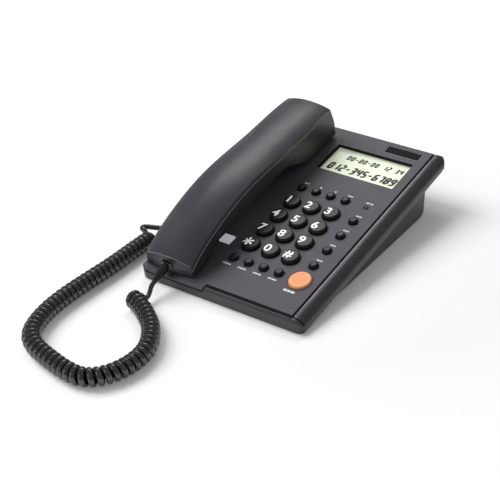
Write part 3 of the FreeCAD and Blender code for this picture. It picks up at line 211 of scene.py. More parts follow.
# Control points of the leads, from the coil outwards
BASE_LEAD = (
    (-26.4, 41.4, 10.0), (-30.6, 42.4, 10.6), (-32.0, 46.4, 9.8), (-27.0, 50.6, 8.8), (-19.0, 54.6, 8.2),
    (-11.0, 58.6, 8.0),
)
BASE_EXIT = (-3.9, 59.0, 8.0)
HANDSET_LEAD = (
    (21.0, -26.9, 7.4), (24.6, -27.4, 6.4), (26.0, -24.6, 5.8), (24.6, -20.2, 7.4),
)
BOOT_TIP = Vector((HANDSET_X, -123.54, 11.58)) * MM
BOOT_WAY = Vector((0, -0.9271, -0.3749))
BOOT_LENGTH = 15.5
# How far the lead runs straight before the boot, and how far it goes in
LEAD_RUN = 4.0
LEAD_DEPTH = 2.0
# Radius of the boot's sleeve at parts of its length
BOOT_SHAPE = (
    (0.0, 2.9), (0.06, 3.1), (0.20, 3.3), (0.35, 3.3), (0.5, 3.1), (0.65, 2.75), (0.8, 2.35), (0.94, 2.0),
    (1.0, 1.8),
)
# Clear end of the plug: size, eased edge, place from the boot's root and depth in the socket
PLUG_END = (8.2, 1.4, 4.8)
PLUG_EASE = 0.35
PLUG_PLACE = 0.7
PLUG_DEPTH = 1.4


def panel(x, v, n=0.0):
    """A place on the sloped panel, given in millimetres."""
    return PANEL @ (Vector((x, v, n)) * MM)


def from_corner(x, y, z):
    """A place measured in millimetres from the front left corner of the base."""
    return Vector((x - HALF_WIDTH, y + FRONT_Y, z)) * MM


# Camera, floor and light

def aim(thing, place, target):
    """Put a camera or lamp at a place, looking at a target."""
    thing.location = place
    thing.rotation_euler = (Vector(target) - Vector(place)).to_track_quat("-Z", "Y").to_euler()


def add_object(name, data):
    """An object in the scene that shows this data."""
    thing = bpy.data.objects.new(name, data)
    bpy.context.scene.collection.objects.link(thing)
    return thing


def make_camera():
    """The photograph's point of view."""
    lens = bpy.data.cameras.new("camera")
    lens.lens = FOCAL_LENGTH
    lens.sensor_width = SENSOR_WIDTH
    lens.clip_end = VIEW_END
    camera = add_object("camera", lens)
    aim(camera, CAMERA_PLACE, CAMERA_TARGET)
    bpy.context.scene.camera = camera


def make_lamp(name, place, size, power, shine):
    """A soft box, which may be kept out of mirrored light."""
    lamp = bpy.data.lights.new(name, "AREA")
    lamp.shape = "RECTANGLE"
    lamp.size, lamp.size_y = size
    lamp.energy = power
    box = add_object(name, lamp)
    box.visible_glossy = shine
    aim(box, place, LIGHT_TARGET)


def shown_ray(tree):
    """One where the camera, a mirror or glass looks, and zero for light that falls on things."""
    path = tree.nodes.new("ShaderNodeLightPath")
    total = None
    for kind in ("Is Camera Ray", "Is Glossy Ray", "Is Transmission Ray"):
        if total is None:
            total = path.outputs[kind]
            continue
        larger = tree.nodes.new("ShaderNodeMath")
        larger.operation = "MAXIMUM"
        tree.links.new(total, larger.inputs[0])
        tree.links.new(path.outputs[kind], larger.inputs[1])
        total = larger.outputs[0]
    return total


def scaled(tree, socket, low, high, start=0.0, end=1.0):
    """A socket's values between a start and an end spread over another range."""
    spread = tree.nodes.new("ShaderNodeMapRange")
    spread.inputs["From Min"].default_value = start
    spread.inputs["From Max"].default_value = end
    spread.inputs["To Min"].default_value = low
    spread.inputs["To Max"].default_value = high
    tree.links.new(socket, spread.inputs["Value"])
    return spread.outputs[0]


def make_world():
    """Even white light from all round."""
    world = bpy.data.worlds.new("studio")
    world.use_nodes = True
    bpy.context.scene.world = world
    back = world.node_tree.nodes["Background"]
    back.inputs["Color"].default_value = (1.0, 1.0, 1.0, 1.0)
    back.inputs["Strength"].default_value = WORLD_LIGHT


def dress_floor():
    """A matt white that glows where it is looked at, more so away from the telephone."""
    material = bpy.data.materials.new("table_white")
    material.use_nodes = True
    tree = material.node_tree
    shader = tree.nodes["Principled BSDF"]
    shader.inputs["Roughness"].default_value = 0.9
    shader.inputs["Specular IOR Level"].default_value = 0.0
    noise = add_noise(tree, 300.0, 3.0)
    blend = add_ramp(tree, noise, FLOOR_TONES)
    tree.links.new(blend, shader.inputs["Base Color"])
    shader.inputs["Emission Color"].default_value = (1.0, 1.0, 1.0, 1.0)
    coords = tree.nodes.new("ShaderNodeTexCoord")
    reach = tree.nodes.new("ShaderNodeVectorMath")
    reach.operation = "LENGTH"
    tree.links.new(coords.outputs["Object"], reach.inputs[0])
    glow = tree.nodes.new("ShaderNodeMath")
    glow.operation = "MULTIPLY"
    growth = scaled(tree, reach.outputs["Value"], GLOW_LOW, GLOW_HIGH, GLOW_NEAR, GLOW_FAR)
    tree.links.new(growth, glow.inputs[0])
    tree.links.new(shown_ray(tree), glow.inputs[1])
    tree.links.new(glow.outputs[0], shader.inputs["Emission Strength"])
    return material


def make_floor():
    """A pale table top that keeps the shadow and turns plain white away from the telephone."""
    mesh = bpy.data.meshes.new("table")
    grid = bmesh.new()
    bmesh.ops.create_grid(grid, x_segments=FLOOR_CELLS, y_segments=FLOOR_CELLS, size=FLOOR_REACH)
    grid.to_mesh(mesh)
    grid.free()
    floor = add_object("table", mesh)
    mesh.materials.append(dress_floor())


# Materials

RAMP_STOPS = (0.3, 0.7)
COAT_ROUGHNESS = 0.08
EDGE_SAMPLES = 6
# Depth of the grain in millimetres
GRAIN_DEPTH = 0.05


def add_noise(tree, scale, detail=2.0, roughness=0.5):
    """Noise over the object's own coordinates, in features per metre."""
    coords = tree.nodes.new("ShaderNodeTexCoord")
    noise = tree.nodes.new("ShaderNodeTexNoise")
    noise.inputs["Scale"].default_value = scale
    noise.inputs["Detail"].default_value = detail
    noise.inputs["Roughness"].default_value = roughness
    tree.links.new(coords.outputs["Object"], noise.inputs["Vector"])
    return noise.outputs[0]


def add_ramp(tree, socket, colours):
    """Two colours blended over the middle of a socket's range."""
    ramp = tree.nodes.new("ShaderNodeValToRGB")
    for element, place, colour in zip(ramp.color_ramp.elements, RAMP_STOPS, colours):
        element.position = place
        element.color = (*colour, 1.0)
    tree.links.new(socket, ramp.inputs[0])
    return ramp.outputs[0]


def surface(name, colour, roughness, tone=0.12, patch=60.0, spread=0.06, grain=2500.0, bump=0.10,
            edge=0.35, metallic=0.0, specular=0.5, coat=0.0, alpha=1.0, glow=0.0):
    """A moulded or painted finish: uneven tone, uneven gloss, fine grain and eased edges."""
    material = bpy.data.materials.new(name)
    material.use_nodes = True
    tree = material.node_tree
    shader = tree.nodes["Principled BSDF"]
    shader.inputs["Metallic"].default_value = metallic
    shader.inputs["Specular IOR Level"].default_value = specular
    shader.inputs["Coat Weight"].default_value = coat
    shader.inputs["Coat Roughness"].default_value = COAT_ROUGHNESS
    shader.inputs["Alpha"].default_value = alpha
    low = tuple(channel * (1 - tone) for channel in colour)
    high = tuple(min(1.0, channel * (1 + tone)) for channel in colour)
    shade = add_ramp(tree, add_noise(tree, patch, 4.0, 0.6), (low, high))
    tree.links.new(shade, shader.inputs["Base Color"])
    # Glow is emission: on a part that is no lamp it is painted light.
    tree.links.new(shade, shader.inputs["Emission Color"])
    shader.inputs["Emission Strength"].default_value = glow
    gloss = scaled(tree, add_noise(tree, 4 * patch, 3.0), roughness - spread, roughness + spread)
    tree.links.new(gloss, shader.inputs["Roughness"])
    relief = tree.nodes.new("ShaderNodeBump")
    relief.inputs["Strength"].default_value = bump
    relief.inputs["Distance"].default_value = GRAIN_DEPTH * MM
    tree.links.new(add_noise(tree, grain, 2.0), relief.inputs["Height"])
    if edge:
        ease = tree.nodes.new("ShaderNodeBevel")
        ease.samples = EDGE_SAMPLES
        ease.inputs["Radius"].default_value = edge * MM
        tree.links.new(ease.outputs[0], relief.inputs["Normal"])
    tree.links.new(relief.outputs[0], shader.inputs["Normal"])
    return material


FINISH = {
    "housing": surface("housing_plastic", (0.036, 0.031, 0.036), 0.30, bump=0.12, edge=0.6),
    "panel": surface("panel_paint", (0.086, 0.086, 0.097), 0.46, tone=0.08, grain=3200.0, bump=0.30,
                     specular=0.28),
    "handset": surface("handset_plastic", (0.042, 0.040, 0.048), 0.37, grain=3000.0, bump=0.18, edge=0.9,
                       specular=0.55),
    "black_key": surface("key_plastic", (0.008, 0.008, 0.010), 0.24, bump=0.05, specular=0.22),
    "orange_key": surface("speaker_key_plastic", (0.98, 0.38, 0.16), 0.45, tone=0.05, bump=0.10),
    "clear_lens": surface("window_plastic", (0.03, 0.04, 0.03), 0.08, bump=0.01, edge=0.0, alpha=0.05),
    # Painted light: the display glows a little, though it has no lamp of its own.
    "display": surface("display_glass", (0.87, 0.96, 0.74), 0.40, tone=0.03, patch=30.0, bump=0.02,
                       glow=0.26),
    "name_plate": surface("bare_plate_metal", (0.008, 0.008, 0.010), 0.48, patch=200.0, bump=0.05,
                          specular=0.06),
    # Painted light: the small lamp's lens glows, though it is unlit, to stay pale in the handset's shadow.
    "lamp_lens": surface("lamp_plastic", (0.80, 0.80, 0.86), 0.30, tone=0.06, bump=0.08, coat=0.3,
                         glow=0.32),
    "red_led": surface("led_plastic", (0.045, 0.020, 0.020), 0.30, bump=0.03, specular=0.25),
    "membrane": surface("key_rubber", (0.35, 0.35, 0.36), 0.60, bump=0.20),
    "board": surface("board_laminate", (0.03, 0.14, 0.06), 0.45, patch=300.0, bump=0.10),
    "speaker": surface("speaker_paper", (0.03, 0.03, 0.03), 0.75, grain=1500.0, bump=0.30),
    "capsule": surface("capsule_metal", (0.45, 0.45, 0.46), 0.35, metallic=1.0),
    "switch": surface("switch_plastic", (0.05, 0.05, 0.055), 0.45),
    "jack": surface("jack_plastic", (0.012, 0.012, 0.013), 0.32, bump=0.08),
    "foot": surface("foot_rubber", (0.018, 0.018, 0.018), 0.78, grain=1200.0, bump=0.35),
    "screw": surface("screw_steel", (0.50, 0.50, 0.52), 0.34, metallic=1.0, patch=400.0),
    "plug": surface("plug_plastic", (0.009, 0.009, 0.010), 0.26, bump=0.06),
    "cord": surface("cord_jacket", (0.015, 0.013, 0.017), 0.17, patch=120.0, bump=0.05, edge=0.0,
                    specular=1.0),
    "weight": surface("weight_iron", (0.20, 0.20, 0.21), 0.50, metallic=1.0, patch=300.0),
}
# Painted light: the numbers' ink glows, to stay white in the handset's shadow.
WHITE_INK = surface("white_ink", (0.92, 0.92, 0.93), 0.50, tone=0.03, patch=400.0, bump=0.04, edge=0.0,
                    glow=0.24)
DARK_SEGMENT = surface("display_segment", (0.012, 0.016, 0.012), 0.45, tone=0.08, patch=200.0, edge=0.0)
CLEAR_PLUG = surface("clear_plug_plastic", (0.22, 0.21, 0.20), 0.14, tone=0.30, patch=500.0, bump=0.04)
# Painted light: the labels' ink glows a little.
LABEL_INK = surface("label_ink", (0.66, 0.66, 0.68), 0.50, tone=0.05, patch=400.0, bump=0.04, edge=0.0,
                    glow=0.12)
ORANGE_RIM = surface("speaker_key_rim", (1.0, 0.50, 0.25), 0.45, tone=0.05, bump=0.10, edge=0.0)
# Pale colours for thin lines that stand in for the light caught on edges: painted highlights.
PALE_EDGE_HIGHLIGHT = surface("pale_edge_highlight_paint", (0.150, 0.145, 0.160), 0.32, patch=300.0, bump=0.05, edge=0.0)
BRIGHT_EDGE_HIGHLIGHT = surface("bright_edge_highlight_paint", (0.34, 0.33, 0.36), 0.32, patch=300.0, bump=0.05, edge=0.0)
RAIL_HIGHLIGHT = surface("rail_highlight_paint", (0.23, 0.225, 0.245), 0.32, patch=300.0, bump=0.05, edge=0.0)
# Dark colour for the real joint line at the rail's front, and for dark sheets painted as shade beside the
# groove and in the display's window.
DARK_JOINT_AND_SHADE = surface("dark_joint_and_shade", (0.010, 0.010, 0.011), 0.60, patch=300.0, edge=0.0,
                        specular=0.06)
# A darker copy of the handset's finish for its shell: painted shade, standing in for the shadow under the
# handset.
SHELL_PAINTED_SHADE = surface("handset_shell_painted_shade", (0.028, 0.027, 0.032), 0.37, grain=3000.0, bump=0.18,
                        edge=0.9, specular=0.45)


def dress_nodes():
    """Give every solid the finish of its slot in the record, and the handset's shell a darker copy of the
    handset's finish, painted shade under the handset.
    """
    for row in frame["record"]["subparts"]:
        mesh = nodes[row["node"]].data
        finish = FINISH[row["material_slot"]]
        mesh.materials.clear()
        mesh.materials.append(SHELL_PAINTED_SHADE if row["node"] == "handset_shell" else finish)


# Cord

def nurbs(name, places, fineness):
    """One open spline with these places as its control points."""
    curve = bpy.data.curves.new(name, "CURVE")
    curve.dimensions = "3D"
    curve.resolution_u = fineness
    spline = curve.splines.new("NURBS")
    spline.points.add(len(places) - 1)
    for point, place in zip(spline.points, places):
        point.co = (*place, 1.0)
    spline.order_u = 3
    spline.use_endpoint_u = True
    return curve


def line_of(curve):
    """The points along a curve that has no bevel."""
    holder = bpy.data.objects.new("line", curve)
    mesh = bpy.data.meshes.new_from_object(holder)
    points = [vertex.co.copy() for vertex in mesh.vertices]
    bpy.data.objects.remove(holder)
    bpy.data.meshes.remove(mesh)
    return points


def distances(points):
    """How far along the line each point is."""
    along = [0.0]
    for before, after in zip(points, points[1:]):
        along.append(along[-1] + (after - before).length)
    return along


def helix_points():
    """Control points of the curls around the route, from the top at the handset's end."""
    places = [from_corner(x, y, COIL_HEIGHT) for x, y in COIL_ROUTE]
    route = line_of(nurbs("coil_route", places, ROUTE_STEPS))
    along = distances(route)
    # A quadratic spline runs this much inside control points set round a circle
    reach = COIL_RADIUS * MM / math.cos(math.pi / CURL_POINTS)
    count = round(CURL_COUNT * CURL_POINTS)
    points, at = [], 0
    for index in range(-CURL_POINTS // 4, count + 1):
        there = along[-1] * index / count
        while at < len(along) - 2 and along[at + 1] < there:
            at += 1
        ahead = (route[at + 1] - route[at]).normalized()
        middle = route[at] + ahead * (there - along[at])
        turn = math.pi / 2 + math.tau * index / CURL_POINTS
        points.append(middle + (UP.cross(ahead) * math.cos(turn) + UP * math.sin(turn)) * reach)
    return points


def tube_mesh(name, line, radii, sides):
    """A closed round tube along a line of points, with a radius at each."""
    tube = bmesh.new()
    way = (line[1] - line[0]).normalized()
    across = way.orthogonal().normalized()
    rings = []
    for index, point in enumerate(line):
        ahead = line[min(index + 1, len(line) - 1)] - line[max(index - 1, 0)]
        turn = way.rotation_difference(ahead)
        way = ahead.normalized()
        across = turn @ across
        lift = way.cross(across)
        ring = []
        for side in range(sides):
            angle = math.tau * side / sides
            spoke = across * math.cos(angle) + lift * math.sin(angle)
            ring.append(tube.verts.new(point + spoke * radii[index]))
        rings.append(ring)
    for first, second in zip(rings, rings[1:]):
        for side in range(sides):
            after = (side + 1) % sides
            tube.faces.new((first[side], first[after], second[after], second[side]))
    tube.faces.new(list(reversed(rings[0])))
    tube.faces.new(rings[-1])
    bmesh.ops.recalc_face_normals(tube, faces=tube.faces)
    for face in tube.faces:
        face.smooth = len(face.verts) == 4
    mesh = bpy.data.meshes.new(name)
    tube.to_mesh(mesh)
    tube.free()
    return mesh


def make_curly_wire(curls, part):
    """The coil with its lead to the base."""
    tip = from_corner(*BASE_EXIT)
    out = [from_corner(*point) for point in BASE_LEAD]
    curve = nurbs("curly_wire", curls[part - 2:] + out + [tip], CURL_STEPS)
    length = distances(line_of(curve))[-1]
    for point in curve.splines[0].points[-len(out) - 1:]:
        point.radius = BASE_LEAD_WIRE / CURL_WIRE
    curve.bevel_depth = CURL_WIRE / 2 * MM
    curve.bevel_resolution = CURL_SIDES
    curve.use_fill_caps = True
    curve.materials.append(FINISH["cord"])
    cord = add_object("curly_wire", curve)
    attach(cord, "base")
    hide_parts("curly_cord", "base_lead")


def lead_radius(there):
    """Radius of the handset's wire, which starts as thick as the curls and thins to the lead."""
    thinned = max(0.0, min(1.0, there / (2 * COIL_RADIUS * MM) - THIN_START))
    return (CURL_WIRE - (CURL_WIRE - LEAD_WIRE) * thinned) / 2 * MM


def make_handset_wire(curls, part):
    """The first curl and the lead that bends up to the handset."""
    rise = [from_corner(*point) for point in HANDSET_LEAD]
    boot = [BOOT_TIP + BOOT_WAY * LEAD_RUN * MM, BOOT_TIP, BOOT_TIP - BOOT_WAY * LEAD_DEPTH * MM]
    line = line_of(nurbs("handset_wire_line", curls[part::-1] + rise + boot, LEAD_STEPS))
    along = distances(line)
    mesh = tube_mesh("handset_wire", line, [lead_radius(there) for there in along], LEAD_SIDES)
    mesh.materials.append(FINISH["cord"])
    wire = add_object("handset_wire", mesh)
    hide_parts("handset_lead")
    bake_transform(wire)


def make_cord():
    """One run of curls, parted where the handset's wire leaves the coil that lies on the table."""
    curls = helix_points()
    part = CURL_POINTS * 3 // 4
    make_curly_wire(curls, part)
    make_handset_wire(curls, part)


# Print and small pieces

def finish_piece(name, shape, material, body):
    """Turn a bmesh into a piece that rides on a body."""
    mesh = bpy.data.meshes.new(name)
    bmesh.ops.recalc_face_normals(shape, faces=shape.faces)
    shape.to_mesh(mesh)
    shape.free()
    mesh.materials.append(material)
    piece = add_object(name, mesh)
    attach(piece, body)
    return piece


def make_boot():
    """A thick sleeve over the handset's strain relief, and the clear end of the plug at its root."""
    length = BOOT_WAY * BOOT_LENGTH * MM
    line = [BOOT_TIP - length * (1 - place) for place, radius in BOOT_SHAPE]
    mesh = tube_mesh("boot_sleeve", line, [radius * MM for place, radius in BOOT_SHAPE], BOOT_SIDES)
    mesh.materials.append(FINISH["plug"])
    sleeve = add_object("boot_sleeve", mesh)
    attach(sleeve, "handset")
    shape = bmesh.new()
    bmesh.ops.create_cube(shape, size=MM)
    bmesh.ops.scale(shape, verts=shape.verts, vec=PLUG_END)
    bmesh.ops.bevel(shape, geom=shape.edges[:], offset=PLUG_EASE * MM, segments=2, affect="EDGES")
    root = BOOT_TIP - length * (1 - PLUG_PLACE / BOOT_LENGTH) - BOOT_WAY * PLUG_DEPTH * MM
    shape.transform(Matrix.Translation(root) @ PANEL.to_3x3().to_4x4())
    finish_piece("clear_plug_end", shape, CLEAR_PLUG, "handset")


def word_shape(text, height, weight):
    """Flat outline of some characters, centred on the origin, in metres."""
    font = bpy.data.curves.new("word", "FONT")
    font.body = text
    font.size = height * FONT_SCALE * MM
    font.offset = weight * MM
    font.align_x = "CENTER"
    font.align_y = "CENTER"
    holder = bpy.data.objects.new("word", font)
    mesh = bpy.data.meshes.new_from_object(holder)
    shape = bmesh.new()
    shape.from_mesh(mesh)
    bpy.data.objects.remove(holder)
    bpy.data.meshes.remove(mesh)
    bpy.data.curves.remove(font)
    low, high = extent(shape)
    bmesh.ops.translate(shape, verts=shape.verts, vec=-(low + high) / 2)
    return shape


def extent(shape):
    """The lowest and highest corners of a shape's box."""
    low = Vector([min(vertex.co[axis] for vertex in shape.verts) for axis in range(3)])
    high = Vector([max(vertex.co[axis] for vertex in shape.verts) for axis in range(3)])
    return low, high


def slice_grid(shape, step):
    """Cut a flat shape into small cells, so that it can follow a curved face."""
    low, high = extent(shape)
    for axis, normal in ((0, (1, 0, 0)), (1, (0, 1, 0))):
        for index in range(math.floor(low[axis] / step) + 1, math.ceil(high[axis] / step)):
            place = Vector(normal) * (index * step)
            geometry = [*shape.verts, *shape.edges, *shape.faces]
            bmesh.ops.bisect_plane(shape, geom=geometry, plane_co=place, plane_no=normal)


def solid_tree(node):
    """A node's faces, ready to be looked at along a ray."""
    solid = nodes[node].data
    return BVHTree.FromPolygons([vertex.co for vertex in solid.vertices],
                                [face.vertices for face in solid.polygons])


def lay_on(shape, node, x, v):
    """Drop a flat shape onto a node along the panel's normal, and print it a hair above."""
    tree = solid_tree(node)
    for vertex in shape.verts:
        above = panel(x, v, KEY_RAY) + PANEL.to_3x3() @ vertex.co
        hit = tree.ray_cast(above, DOWN)[0]
        vertex.co = (hit or above + DOWN * KEY_RAY * MM) - DOWN * PRINT_LIFT * MM


def first_hit(tree, places):
    """Where the first of these places on the panel has the solid under it."""
    for x, v in places:
        hit = tree.ray_cast(panel(x, v, RAY_HEIGHT), DOWN)[0]
        if hit:
            return hit
    return None


def add_bead(name, line, radius, material, body):
    """A thin round edge along a line."""
    line = [point for point in line if point]
    mesh = tube_mesh(name, line, [radius * MM] * len(line), BEAD_SIDES)
    mesh.materials.append(material)
    bead = add_object(name, mesh)
    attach(bead, body)


def seam_place(tree, v):
    """The lowest place of the slab's right wall, looked at from the right."""
    lowest = None
    for step in range(SEAM_LEVELS):
        outside = panel(HALF_WIDTH + 10, v, SEAM_TOP - SEAM_STEP * step)
        hit = tree.ray_cast(outside, Vector((-1, 0, 0)))[0]
        if hit and hit.x > (HALF_WIDTH - SEAM_LEAN) * MM:
            lowest = hit
    return lowest


def make_cover_highlights():
    """Pale lines painted as highlights along the front and the right side of the handset's cover."""
    tree = solid_tree("handset_cover")
    half = HANDSET_WIDTH / 2
    steps, inset = 24, 0.6
    front = []
    for step in range(steps + 1):
        x = HANDSET_X - half + inset + (HANDSET_WIDTH - 2 * inset) * step / steps
        front.append(first_hit(tree, [(x, 0.1 * place) for place in range(10, 120)]))
    add_bead("cover_front_highlight", front, FRONT_EDGE_RADIUS, PALE_EDGE_HIGHLIGHT, "handset")
    steps, start, run, outside = 80, 6.5, 200.0, 1.5
    side = []
    for step in range(steps + 1):
        v = start + run * step / steps
        places = [(HANDSET_X + half + outside - 0.05 * place, v) for place in range(80)]
        side.append(first_hit(tree, places))
    add_bead("cover_side_highlight", side, SIDE_EDGE_RADIUS, BRIGHT_EDGE_HIGHLIGHT, "handset")


def make_base_beads():
    """A pale line painted as a highlight on the rail, the dark line at its front, and a pale line painted as
    a highlight on the seam between slab and wedge.
    """
    tree = solid_tree("top_housing")
    along = [RAIL_START + BASE_RUN * step / RAIL_COUNT for step in range(RAIL_COUNT + 1)]
    rail = [first_hit(tree, [(RAIL_X, v)]) for v in along]
    sunk = [point + DOWN * RAIL_DEPTH * MM for point in rail if point]
    add_bead("rail_highlight_bead", sunk, RAIL_RADIUS, RAIL_HIGHLIGHT, "base")
    middle = PLATE_FRONT + GROOVE_SHADE_WIDTH / 2
    nose = [first_hit(tree, [(PLATE_RIGHT + NOSE_STEP * step, middle)]) for step in range(NOSE_COUNT)]
    add_bead("nose_groove", nose, NOSE_RADIUS, DARK_JOINT_AND_SHADE, "base")
    along = [SEAM_START + BASE_RUN * step / SEAM_COUNT for step in range(SEAM_COUNT + 1)]
    seam = [seam_place(tree, v) for v in along]
    add_bead("slab_seam_highlight", seam, SEAM_RADIUS, BRIGHT_EDGE_HIGHLIGHT, "base")


def make_digits():
    """White numbers on the dial keys, set towards the left as on the real keys."""
    shift_x, shift_v = NUMBER_SHIFT
    for index, name in enumerate(DIAL_NAMES):
        row, column = divmod(index, 3)
        x = DIAL_X + (column - 1) * DIAL_PITCH_X + shift_x
        v = DIAL_V + (3 - row) * DIAL_PITCH_V + shift_v
        height = STAR_HEIGHT if name == "star" else NUMBER_HEIGHT
        shape = word_shape(DIAL_SIGNS.get(name, name), height, NUMBER_WEIGHT)
        slice_grid(shape, NUMBER_CELL * MM)
        lay_on(shape, f"key_{name}", x, v)
        finish_piece(f"number_{name}", shape, WHITE_INK, f"key_{name}")


def add_bar(shape, x, v, width, height, n):
    """A flat bar on the panel with its corners cut off."""
    cut = min(width, height) * 0.25
    half_x, half_v = width / 2, height / 2
    corners = (
        (-half_x, -half_v + cut), (-half_x + cut, -half_v), (half_x - cut, -half_v), (half_x, -half_v + cut),
        (half_x, half_v - cut), (half_x - cut, half_v), (-half_x + cut, half_v), (-half_x, half_v - cut),
    )
    shape.faces.new([shape.verts.new(panel(x + a, v + b, n)) for a, b in corners])


def add_label(shape, x, v, parts, height=LABEL_HEIGHT):
    """A row of short strokes in place of a printed word."""
    width = sum(parts) + LABEL_GAP * (len(parts) - 1)
    place = x - width / 2
    for part in parts:
        add_bar(shape, place + part / 2, v, part, height, PRINT_LIFT)
        place += part + LABEL_GAP


def add_arrow(shape, x, v, size):
    """A small triangle that points up or down the panel."""
    corners = ((-abs(size), -size / 1.4), (abs(size), -size / 1.4), (0, size))
    shape.faces.new([shape.verts.new(panel(x + a, v + b, PRINT_LIFT)) for a, b in corners])


def make_labels():
    """Plain strokes and arrows where the panel has words beside its keys."""
    shape = bmesh.new()
    columns = [SMALL_X + (index - 1.5) * SMALL_PITCH for index in range(4)]
    add_label(shape, columns[0] + LABEL_X, TOP_ROW_V + TOP_LABEL_V, (1.4, 0.9, 1.2))
    add_arrow(shape, columns[1] + ARROW_X, TOP_ROW_V + TOP_ARROW_V, ARROW_SIZE)
    add_arrow(shape, columns[2] + ARROW_X, TOP_ROW_V + TOP_ARROW_V, -ARROW_SIZE)
    add_label(shape, columns[3] + LABEL_X, TOP_ROW_V + TOP_LABEL_V, (1.2, 1.6, 1.0))
    add_label(shape, SIDE_X + ARROW_X, TOP_ROW_V + LED_LABEL_V, (2.0, 1.2, 2.0))
    for index in range(4):
        v = DIAL_V + index * DIAL_PITCH_V + SIDE_LABEL_V
        add_label(shape, SIDE_X + LABEL_X, v, LABEL_PARTS[index])
        x = columns[index] + LOWER_LABEL_X
        longer = LABEL_PARTS[3 - index] + (1.7,)
        add_label(shape, x, BOTTOM_ROW_V + LOWER_LABEL_V, longer, LOWER_LABEL_HEIGHT)
    x, v = SIDE_X + SPEAKER_LABEL_X, BOTTOM_ROW_V + SPEAKER_LABEL_V
    add_label(shape, x, v, (3.0, 2.2, 3.2), SPEAKER_LABEL_HEIGHT)
    finish_piece("panel_labels", shape, LABEL_INK, "base")


SEGMENTS = {
    "0": "abcdef", "1": "bc", "2": "abged", "3": "abgcd", "4": "fgbc", "5": "afgcd", "6": "afgedc",
    "7": "abc", "8": "abcdefg", "9": "abcfgd", "-": "g", " ": "",
}


def add_segment(shape, corner, height, name):
    """One slanted stroke of a seven-segment figure."""
    width, thick, lean = height * 0.47, height * 0.105, 0.14
    rows = {"a": 1.0, "g": 0.5, "d": 0.0}
    if name in rows:
        middle = rows[name] * (height - 2 * thick) + thick
        ends = (thick * 1.4, middle), (width - thick * 1.4, middle)
    else:
        across = width - thick if name in "bc" else thick
        low = 0.5 * height if name in "bf" else thick
        ends = (across, low + thick * 0.4), (across, low + 0.5 * height - thick * 1.4)
    way = Vector((ends[1][0] - ends[0][0], ends[1][1] - ends[0][1])).normalized()
    side = Vector((-way.y, way.x)) * thick
    start, end = Vector(ends[0]), Vector(ends[1])
    points = (start - way * thick, start - side, end - side, end + way * thick, end + side, start + side)
    x, v, n = corner
    shape.faces.new([shape.verts.new(panel(x + p.x + lean * p.y, v + p.y, n)) for p in points])


# Level of the display's face, and each line's text, place of the first figure, height and pitch
DISPLAY_TOP = -3.36
DISPLAY_LINES = (
    ("00-00-00 12 34", -3.4, 186.6, 6.3, 3.55),
    ("012-345-6789", -12.6, 170.2, 9.8, 4.95),
)


def make_display():
    """Plain figures in two lines on the display."""
    shape = bmesh.new()
    for text, x, v, height, pitch in DISPLAY_LINES:
        for index, letter in enumerate(text):
            for name in SEGMENTS[letter]:
                add_segment(shape, (x + index * pitch, v, DISPLAY_TOP), height, name)
    finish_piece("display_figures", shape, DARK_SEGMENT, "base")


def add_ring(shape, matrix, inner, outer, low, high, steps=32):
    """A flat ring with a square section, in millimetres about a place."""
    loops = []
    for radius, level in ((inner, low), (outer, low), (outer, high), (inner, high)):
        loop = []
        for step in range(steps):
            angle = math.tau * step / steps
            point = Vector((radius * math.cos(angle), radius * math.sin(angle), level))
            loop.append(shape.verts.new(matrix @ (point * MM)))
        loops.append(loop)
    for first, second in zip(loops, loops[1:] + loops[:1]):
        for step in range(steps):
            after = (step + 1) % steps
            shape.faces.new((first[step], first[after], second[after], second[step]))


def on_panel(x, v, n=0.0):
    """The panel's own axes moved to a place on it."""
    return PANEL @ Matrix.Translation(Vector((x, v, n)) * MM)


def make_led_ring():
    """The ring of the small lamp."""
    shape = bmesh.new()
    inner, outer, half = LED_RING
    add_ring(shape, on_panel(SIDE_X, TOP_ROW_V), inner, outer, -half, half)
    finish_piece("led_ring", shape, FINISH["black_key"], "base")


def make_plate_frame():
    """A thin frame round the bare name plate."""
    shape = bmesh.new()
    (low_x, high_x), (low_v, high_v) = PLATE_BED
    left, right = low_x + FRAME_INSET, high_x - FRAME_INSET
    front, back = low_v + FRAME_INSET, high_v - FRAME_INSET
    corners = [(left, front), (right, front), (right, back), (left, back)]
    for (x, v), (other_x, other_v) in zip(corners, corners[1:] + corners[:1]):
        width = abs(other_x - x) + FRAME_STROKE
        height = abs(other_v - v) + FRAME_STROKE
        add_bar(shape, (x + other_x) / 2, (v + other_v) / 2, width, height, PLATE_TOP + PRINT_LIFT)
    finish_piece("plate_frame", shape, BRIGHT_EDGE_HIGHLIGHT, "base")


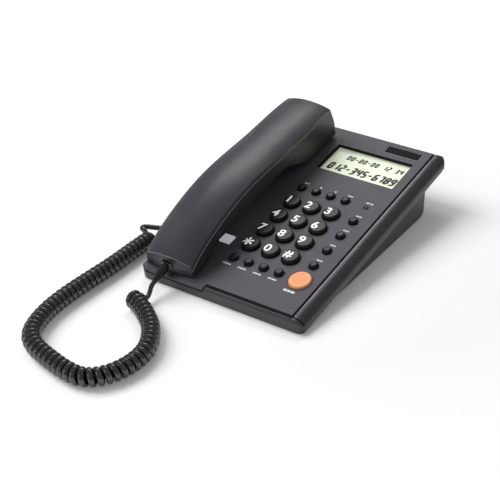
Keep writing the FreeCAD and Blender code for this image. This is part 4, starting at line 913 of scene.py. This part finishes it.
def make_speaker_rim():
    """The paler rim on the orange key's face."""
    shape = bmesh.new()
    oval = Matrix.Diagonal((1.0, SPEAKER_LENGTH / SPEAKER_WIDTH, 1.0, 1.0))
    half = SPEAKER_WIDTH / 2
    inner, outer, low, high = SPEAKER_RIM
    place = on_panel(SIDE_X, SPEAKER_V, SPEAKER_RISE) @ oval
    add_ring(shape, place, half - inner, half - outer, low, high, 48)
    finish_piece("speaker_key_rim", shape, ORANGE_RIM, "speaker_key")


def add_block(shape, low, high):
    """A block between two corners, in millimetres on the panel."""
    low, high = Vector(low), Vector(high)
    size = Matrix.Diagonal((*((high - low) * MM), 1.0))
    bmesh.ops.create_cube(shape, size=1.0, matrix=on_panel(*((low + high) / 2)) @ size)


def make_window_painted_shade():
    """Painted shade: dark walls at the back and the left of the display's window, reaching a little onto the
    panel beside them.
    """
    shape = bmesh.new()
    (low_x, high_x), (low_v, high_v) = WINDOW
    left, inside = low_x - LEFT_WINDOW_SHADE_EDGE, low_x + WINDOW_SHADE_WALL
    front, back = high_v - WINDOW_SHADE_WALL, high_v + BACK_WINDOW_SHADE_EDGE
    add_block(shape, (left, low_v, -WINDOW_SHADE_DEPTH), (inside, back, PRINT_LIFT))
    add_block(shape, (inside, front, -WINDOW_SHADE_DEPTH), (high_x, back, PRINT_LIFT))
    bmesh.ops.bevel(shape, geom=shape.edges[:], offset=WINDOW_SHADE_EASE * MM, segments=1, affect="EDGES")
    finish_piece("window_painted_shade", shape, DARK_JOINT_AND_SHADE, "base")


def make_groove_shade():
    """Painted shade: dark bands on the face plate along its front and right edges, beside the groove."""
    shape = bmesh.new()
    left, right = PLATE_STEP_X, PLATE_RIGHT
    middle = PLATE_FRONT + FRONT_GROOVE_SHADE_WIDTH / 2
    add_bar(shape, (left + right) / 2, middle, right - left, FRONT_GROOVE_SHADE_WIDTH, PRINT_LIFT)
    middle = (PLATE_FRONT + PLATE_BACK) / 2
    add_bar(shape, right - GROOVE_SHADE_WIDTH / 2, middle, GROOVE_SHADE_WIDTH, PLATE_BACK - PLATE_FRONT, SECOND_LIFT)
    finish_piece("plate_groove_shade", shape, DARK_JOINT_AND_SHADE, "base")


make_camera()
make_world()
make_floor()
for lamp_row in LAMPS:
    make_lamp(*lamp_row)
make_cord()
dress_nodes()
make_boot()
make_digits()
make_labels()
make_display()
make_led_ring()
make_plate_frame()
make_speaker_rim()
make_groove_shade()
make_window_painted_shade()
make_cover_highlights()
make_base_beads()

scene = bpy.context.scene
scene.view_settings.view_transform = "Standard"
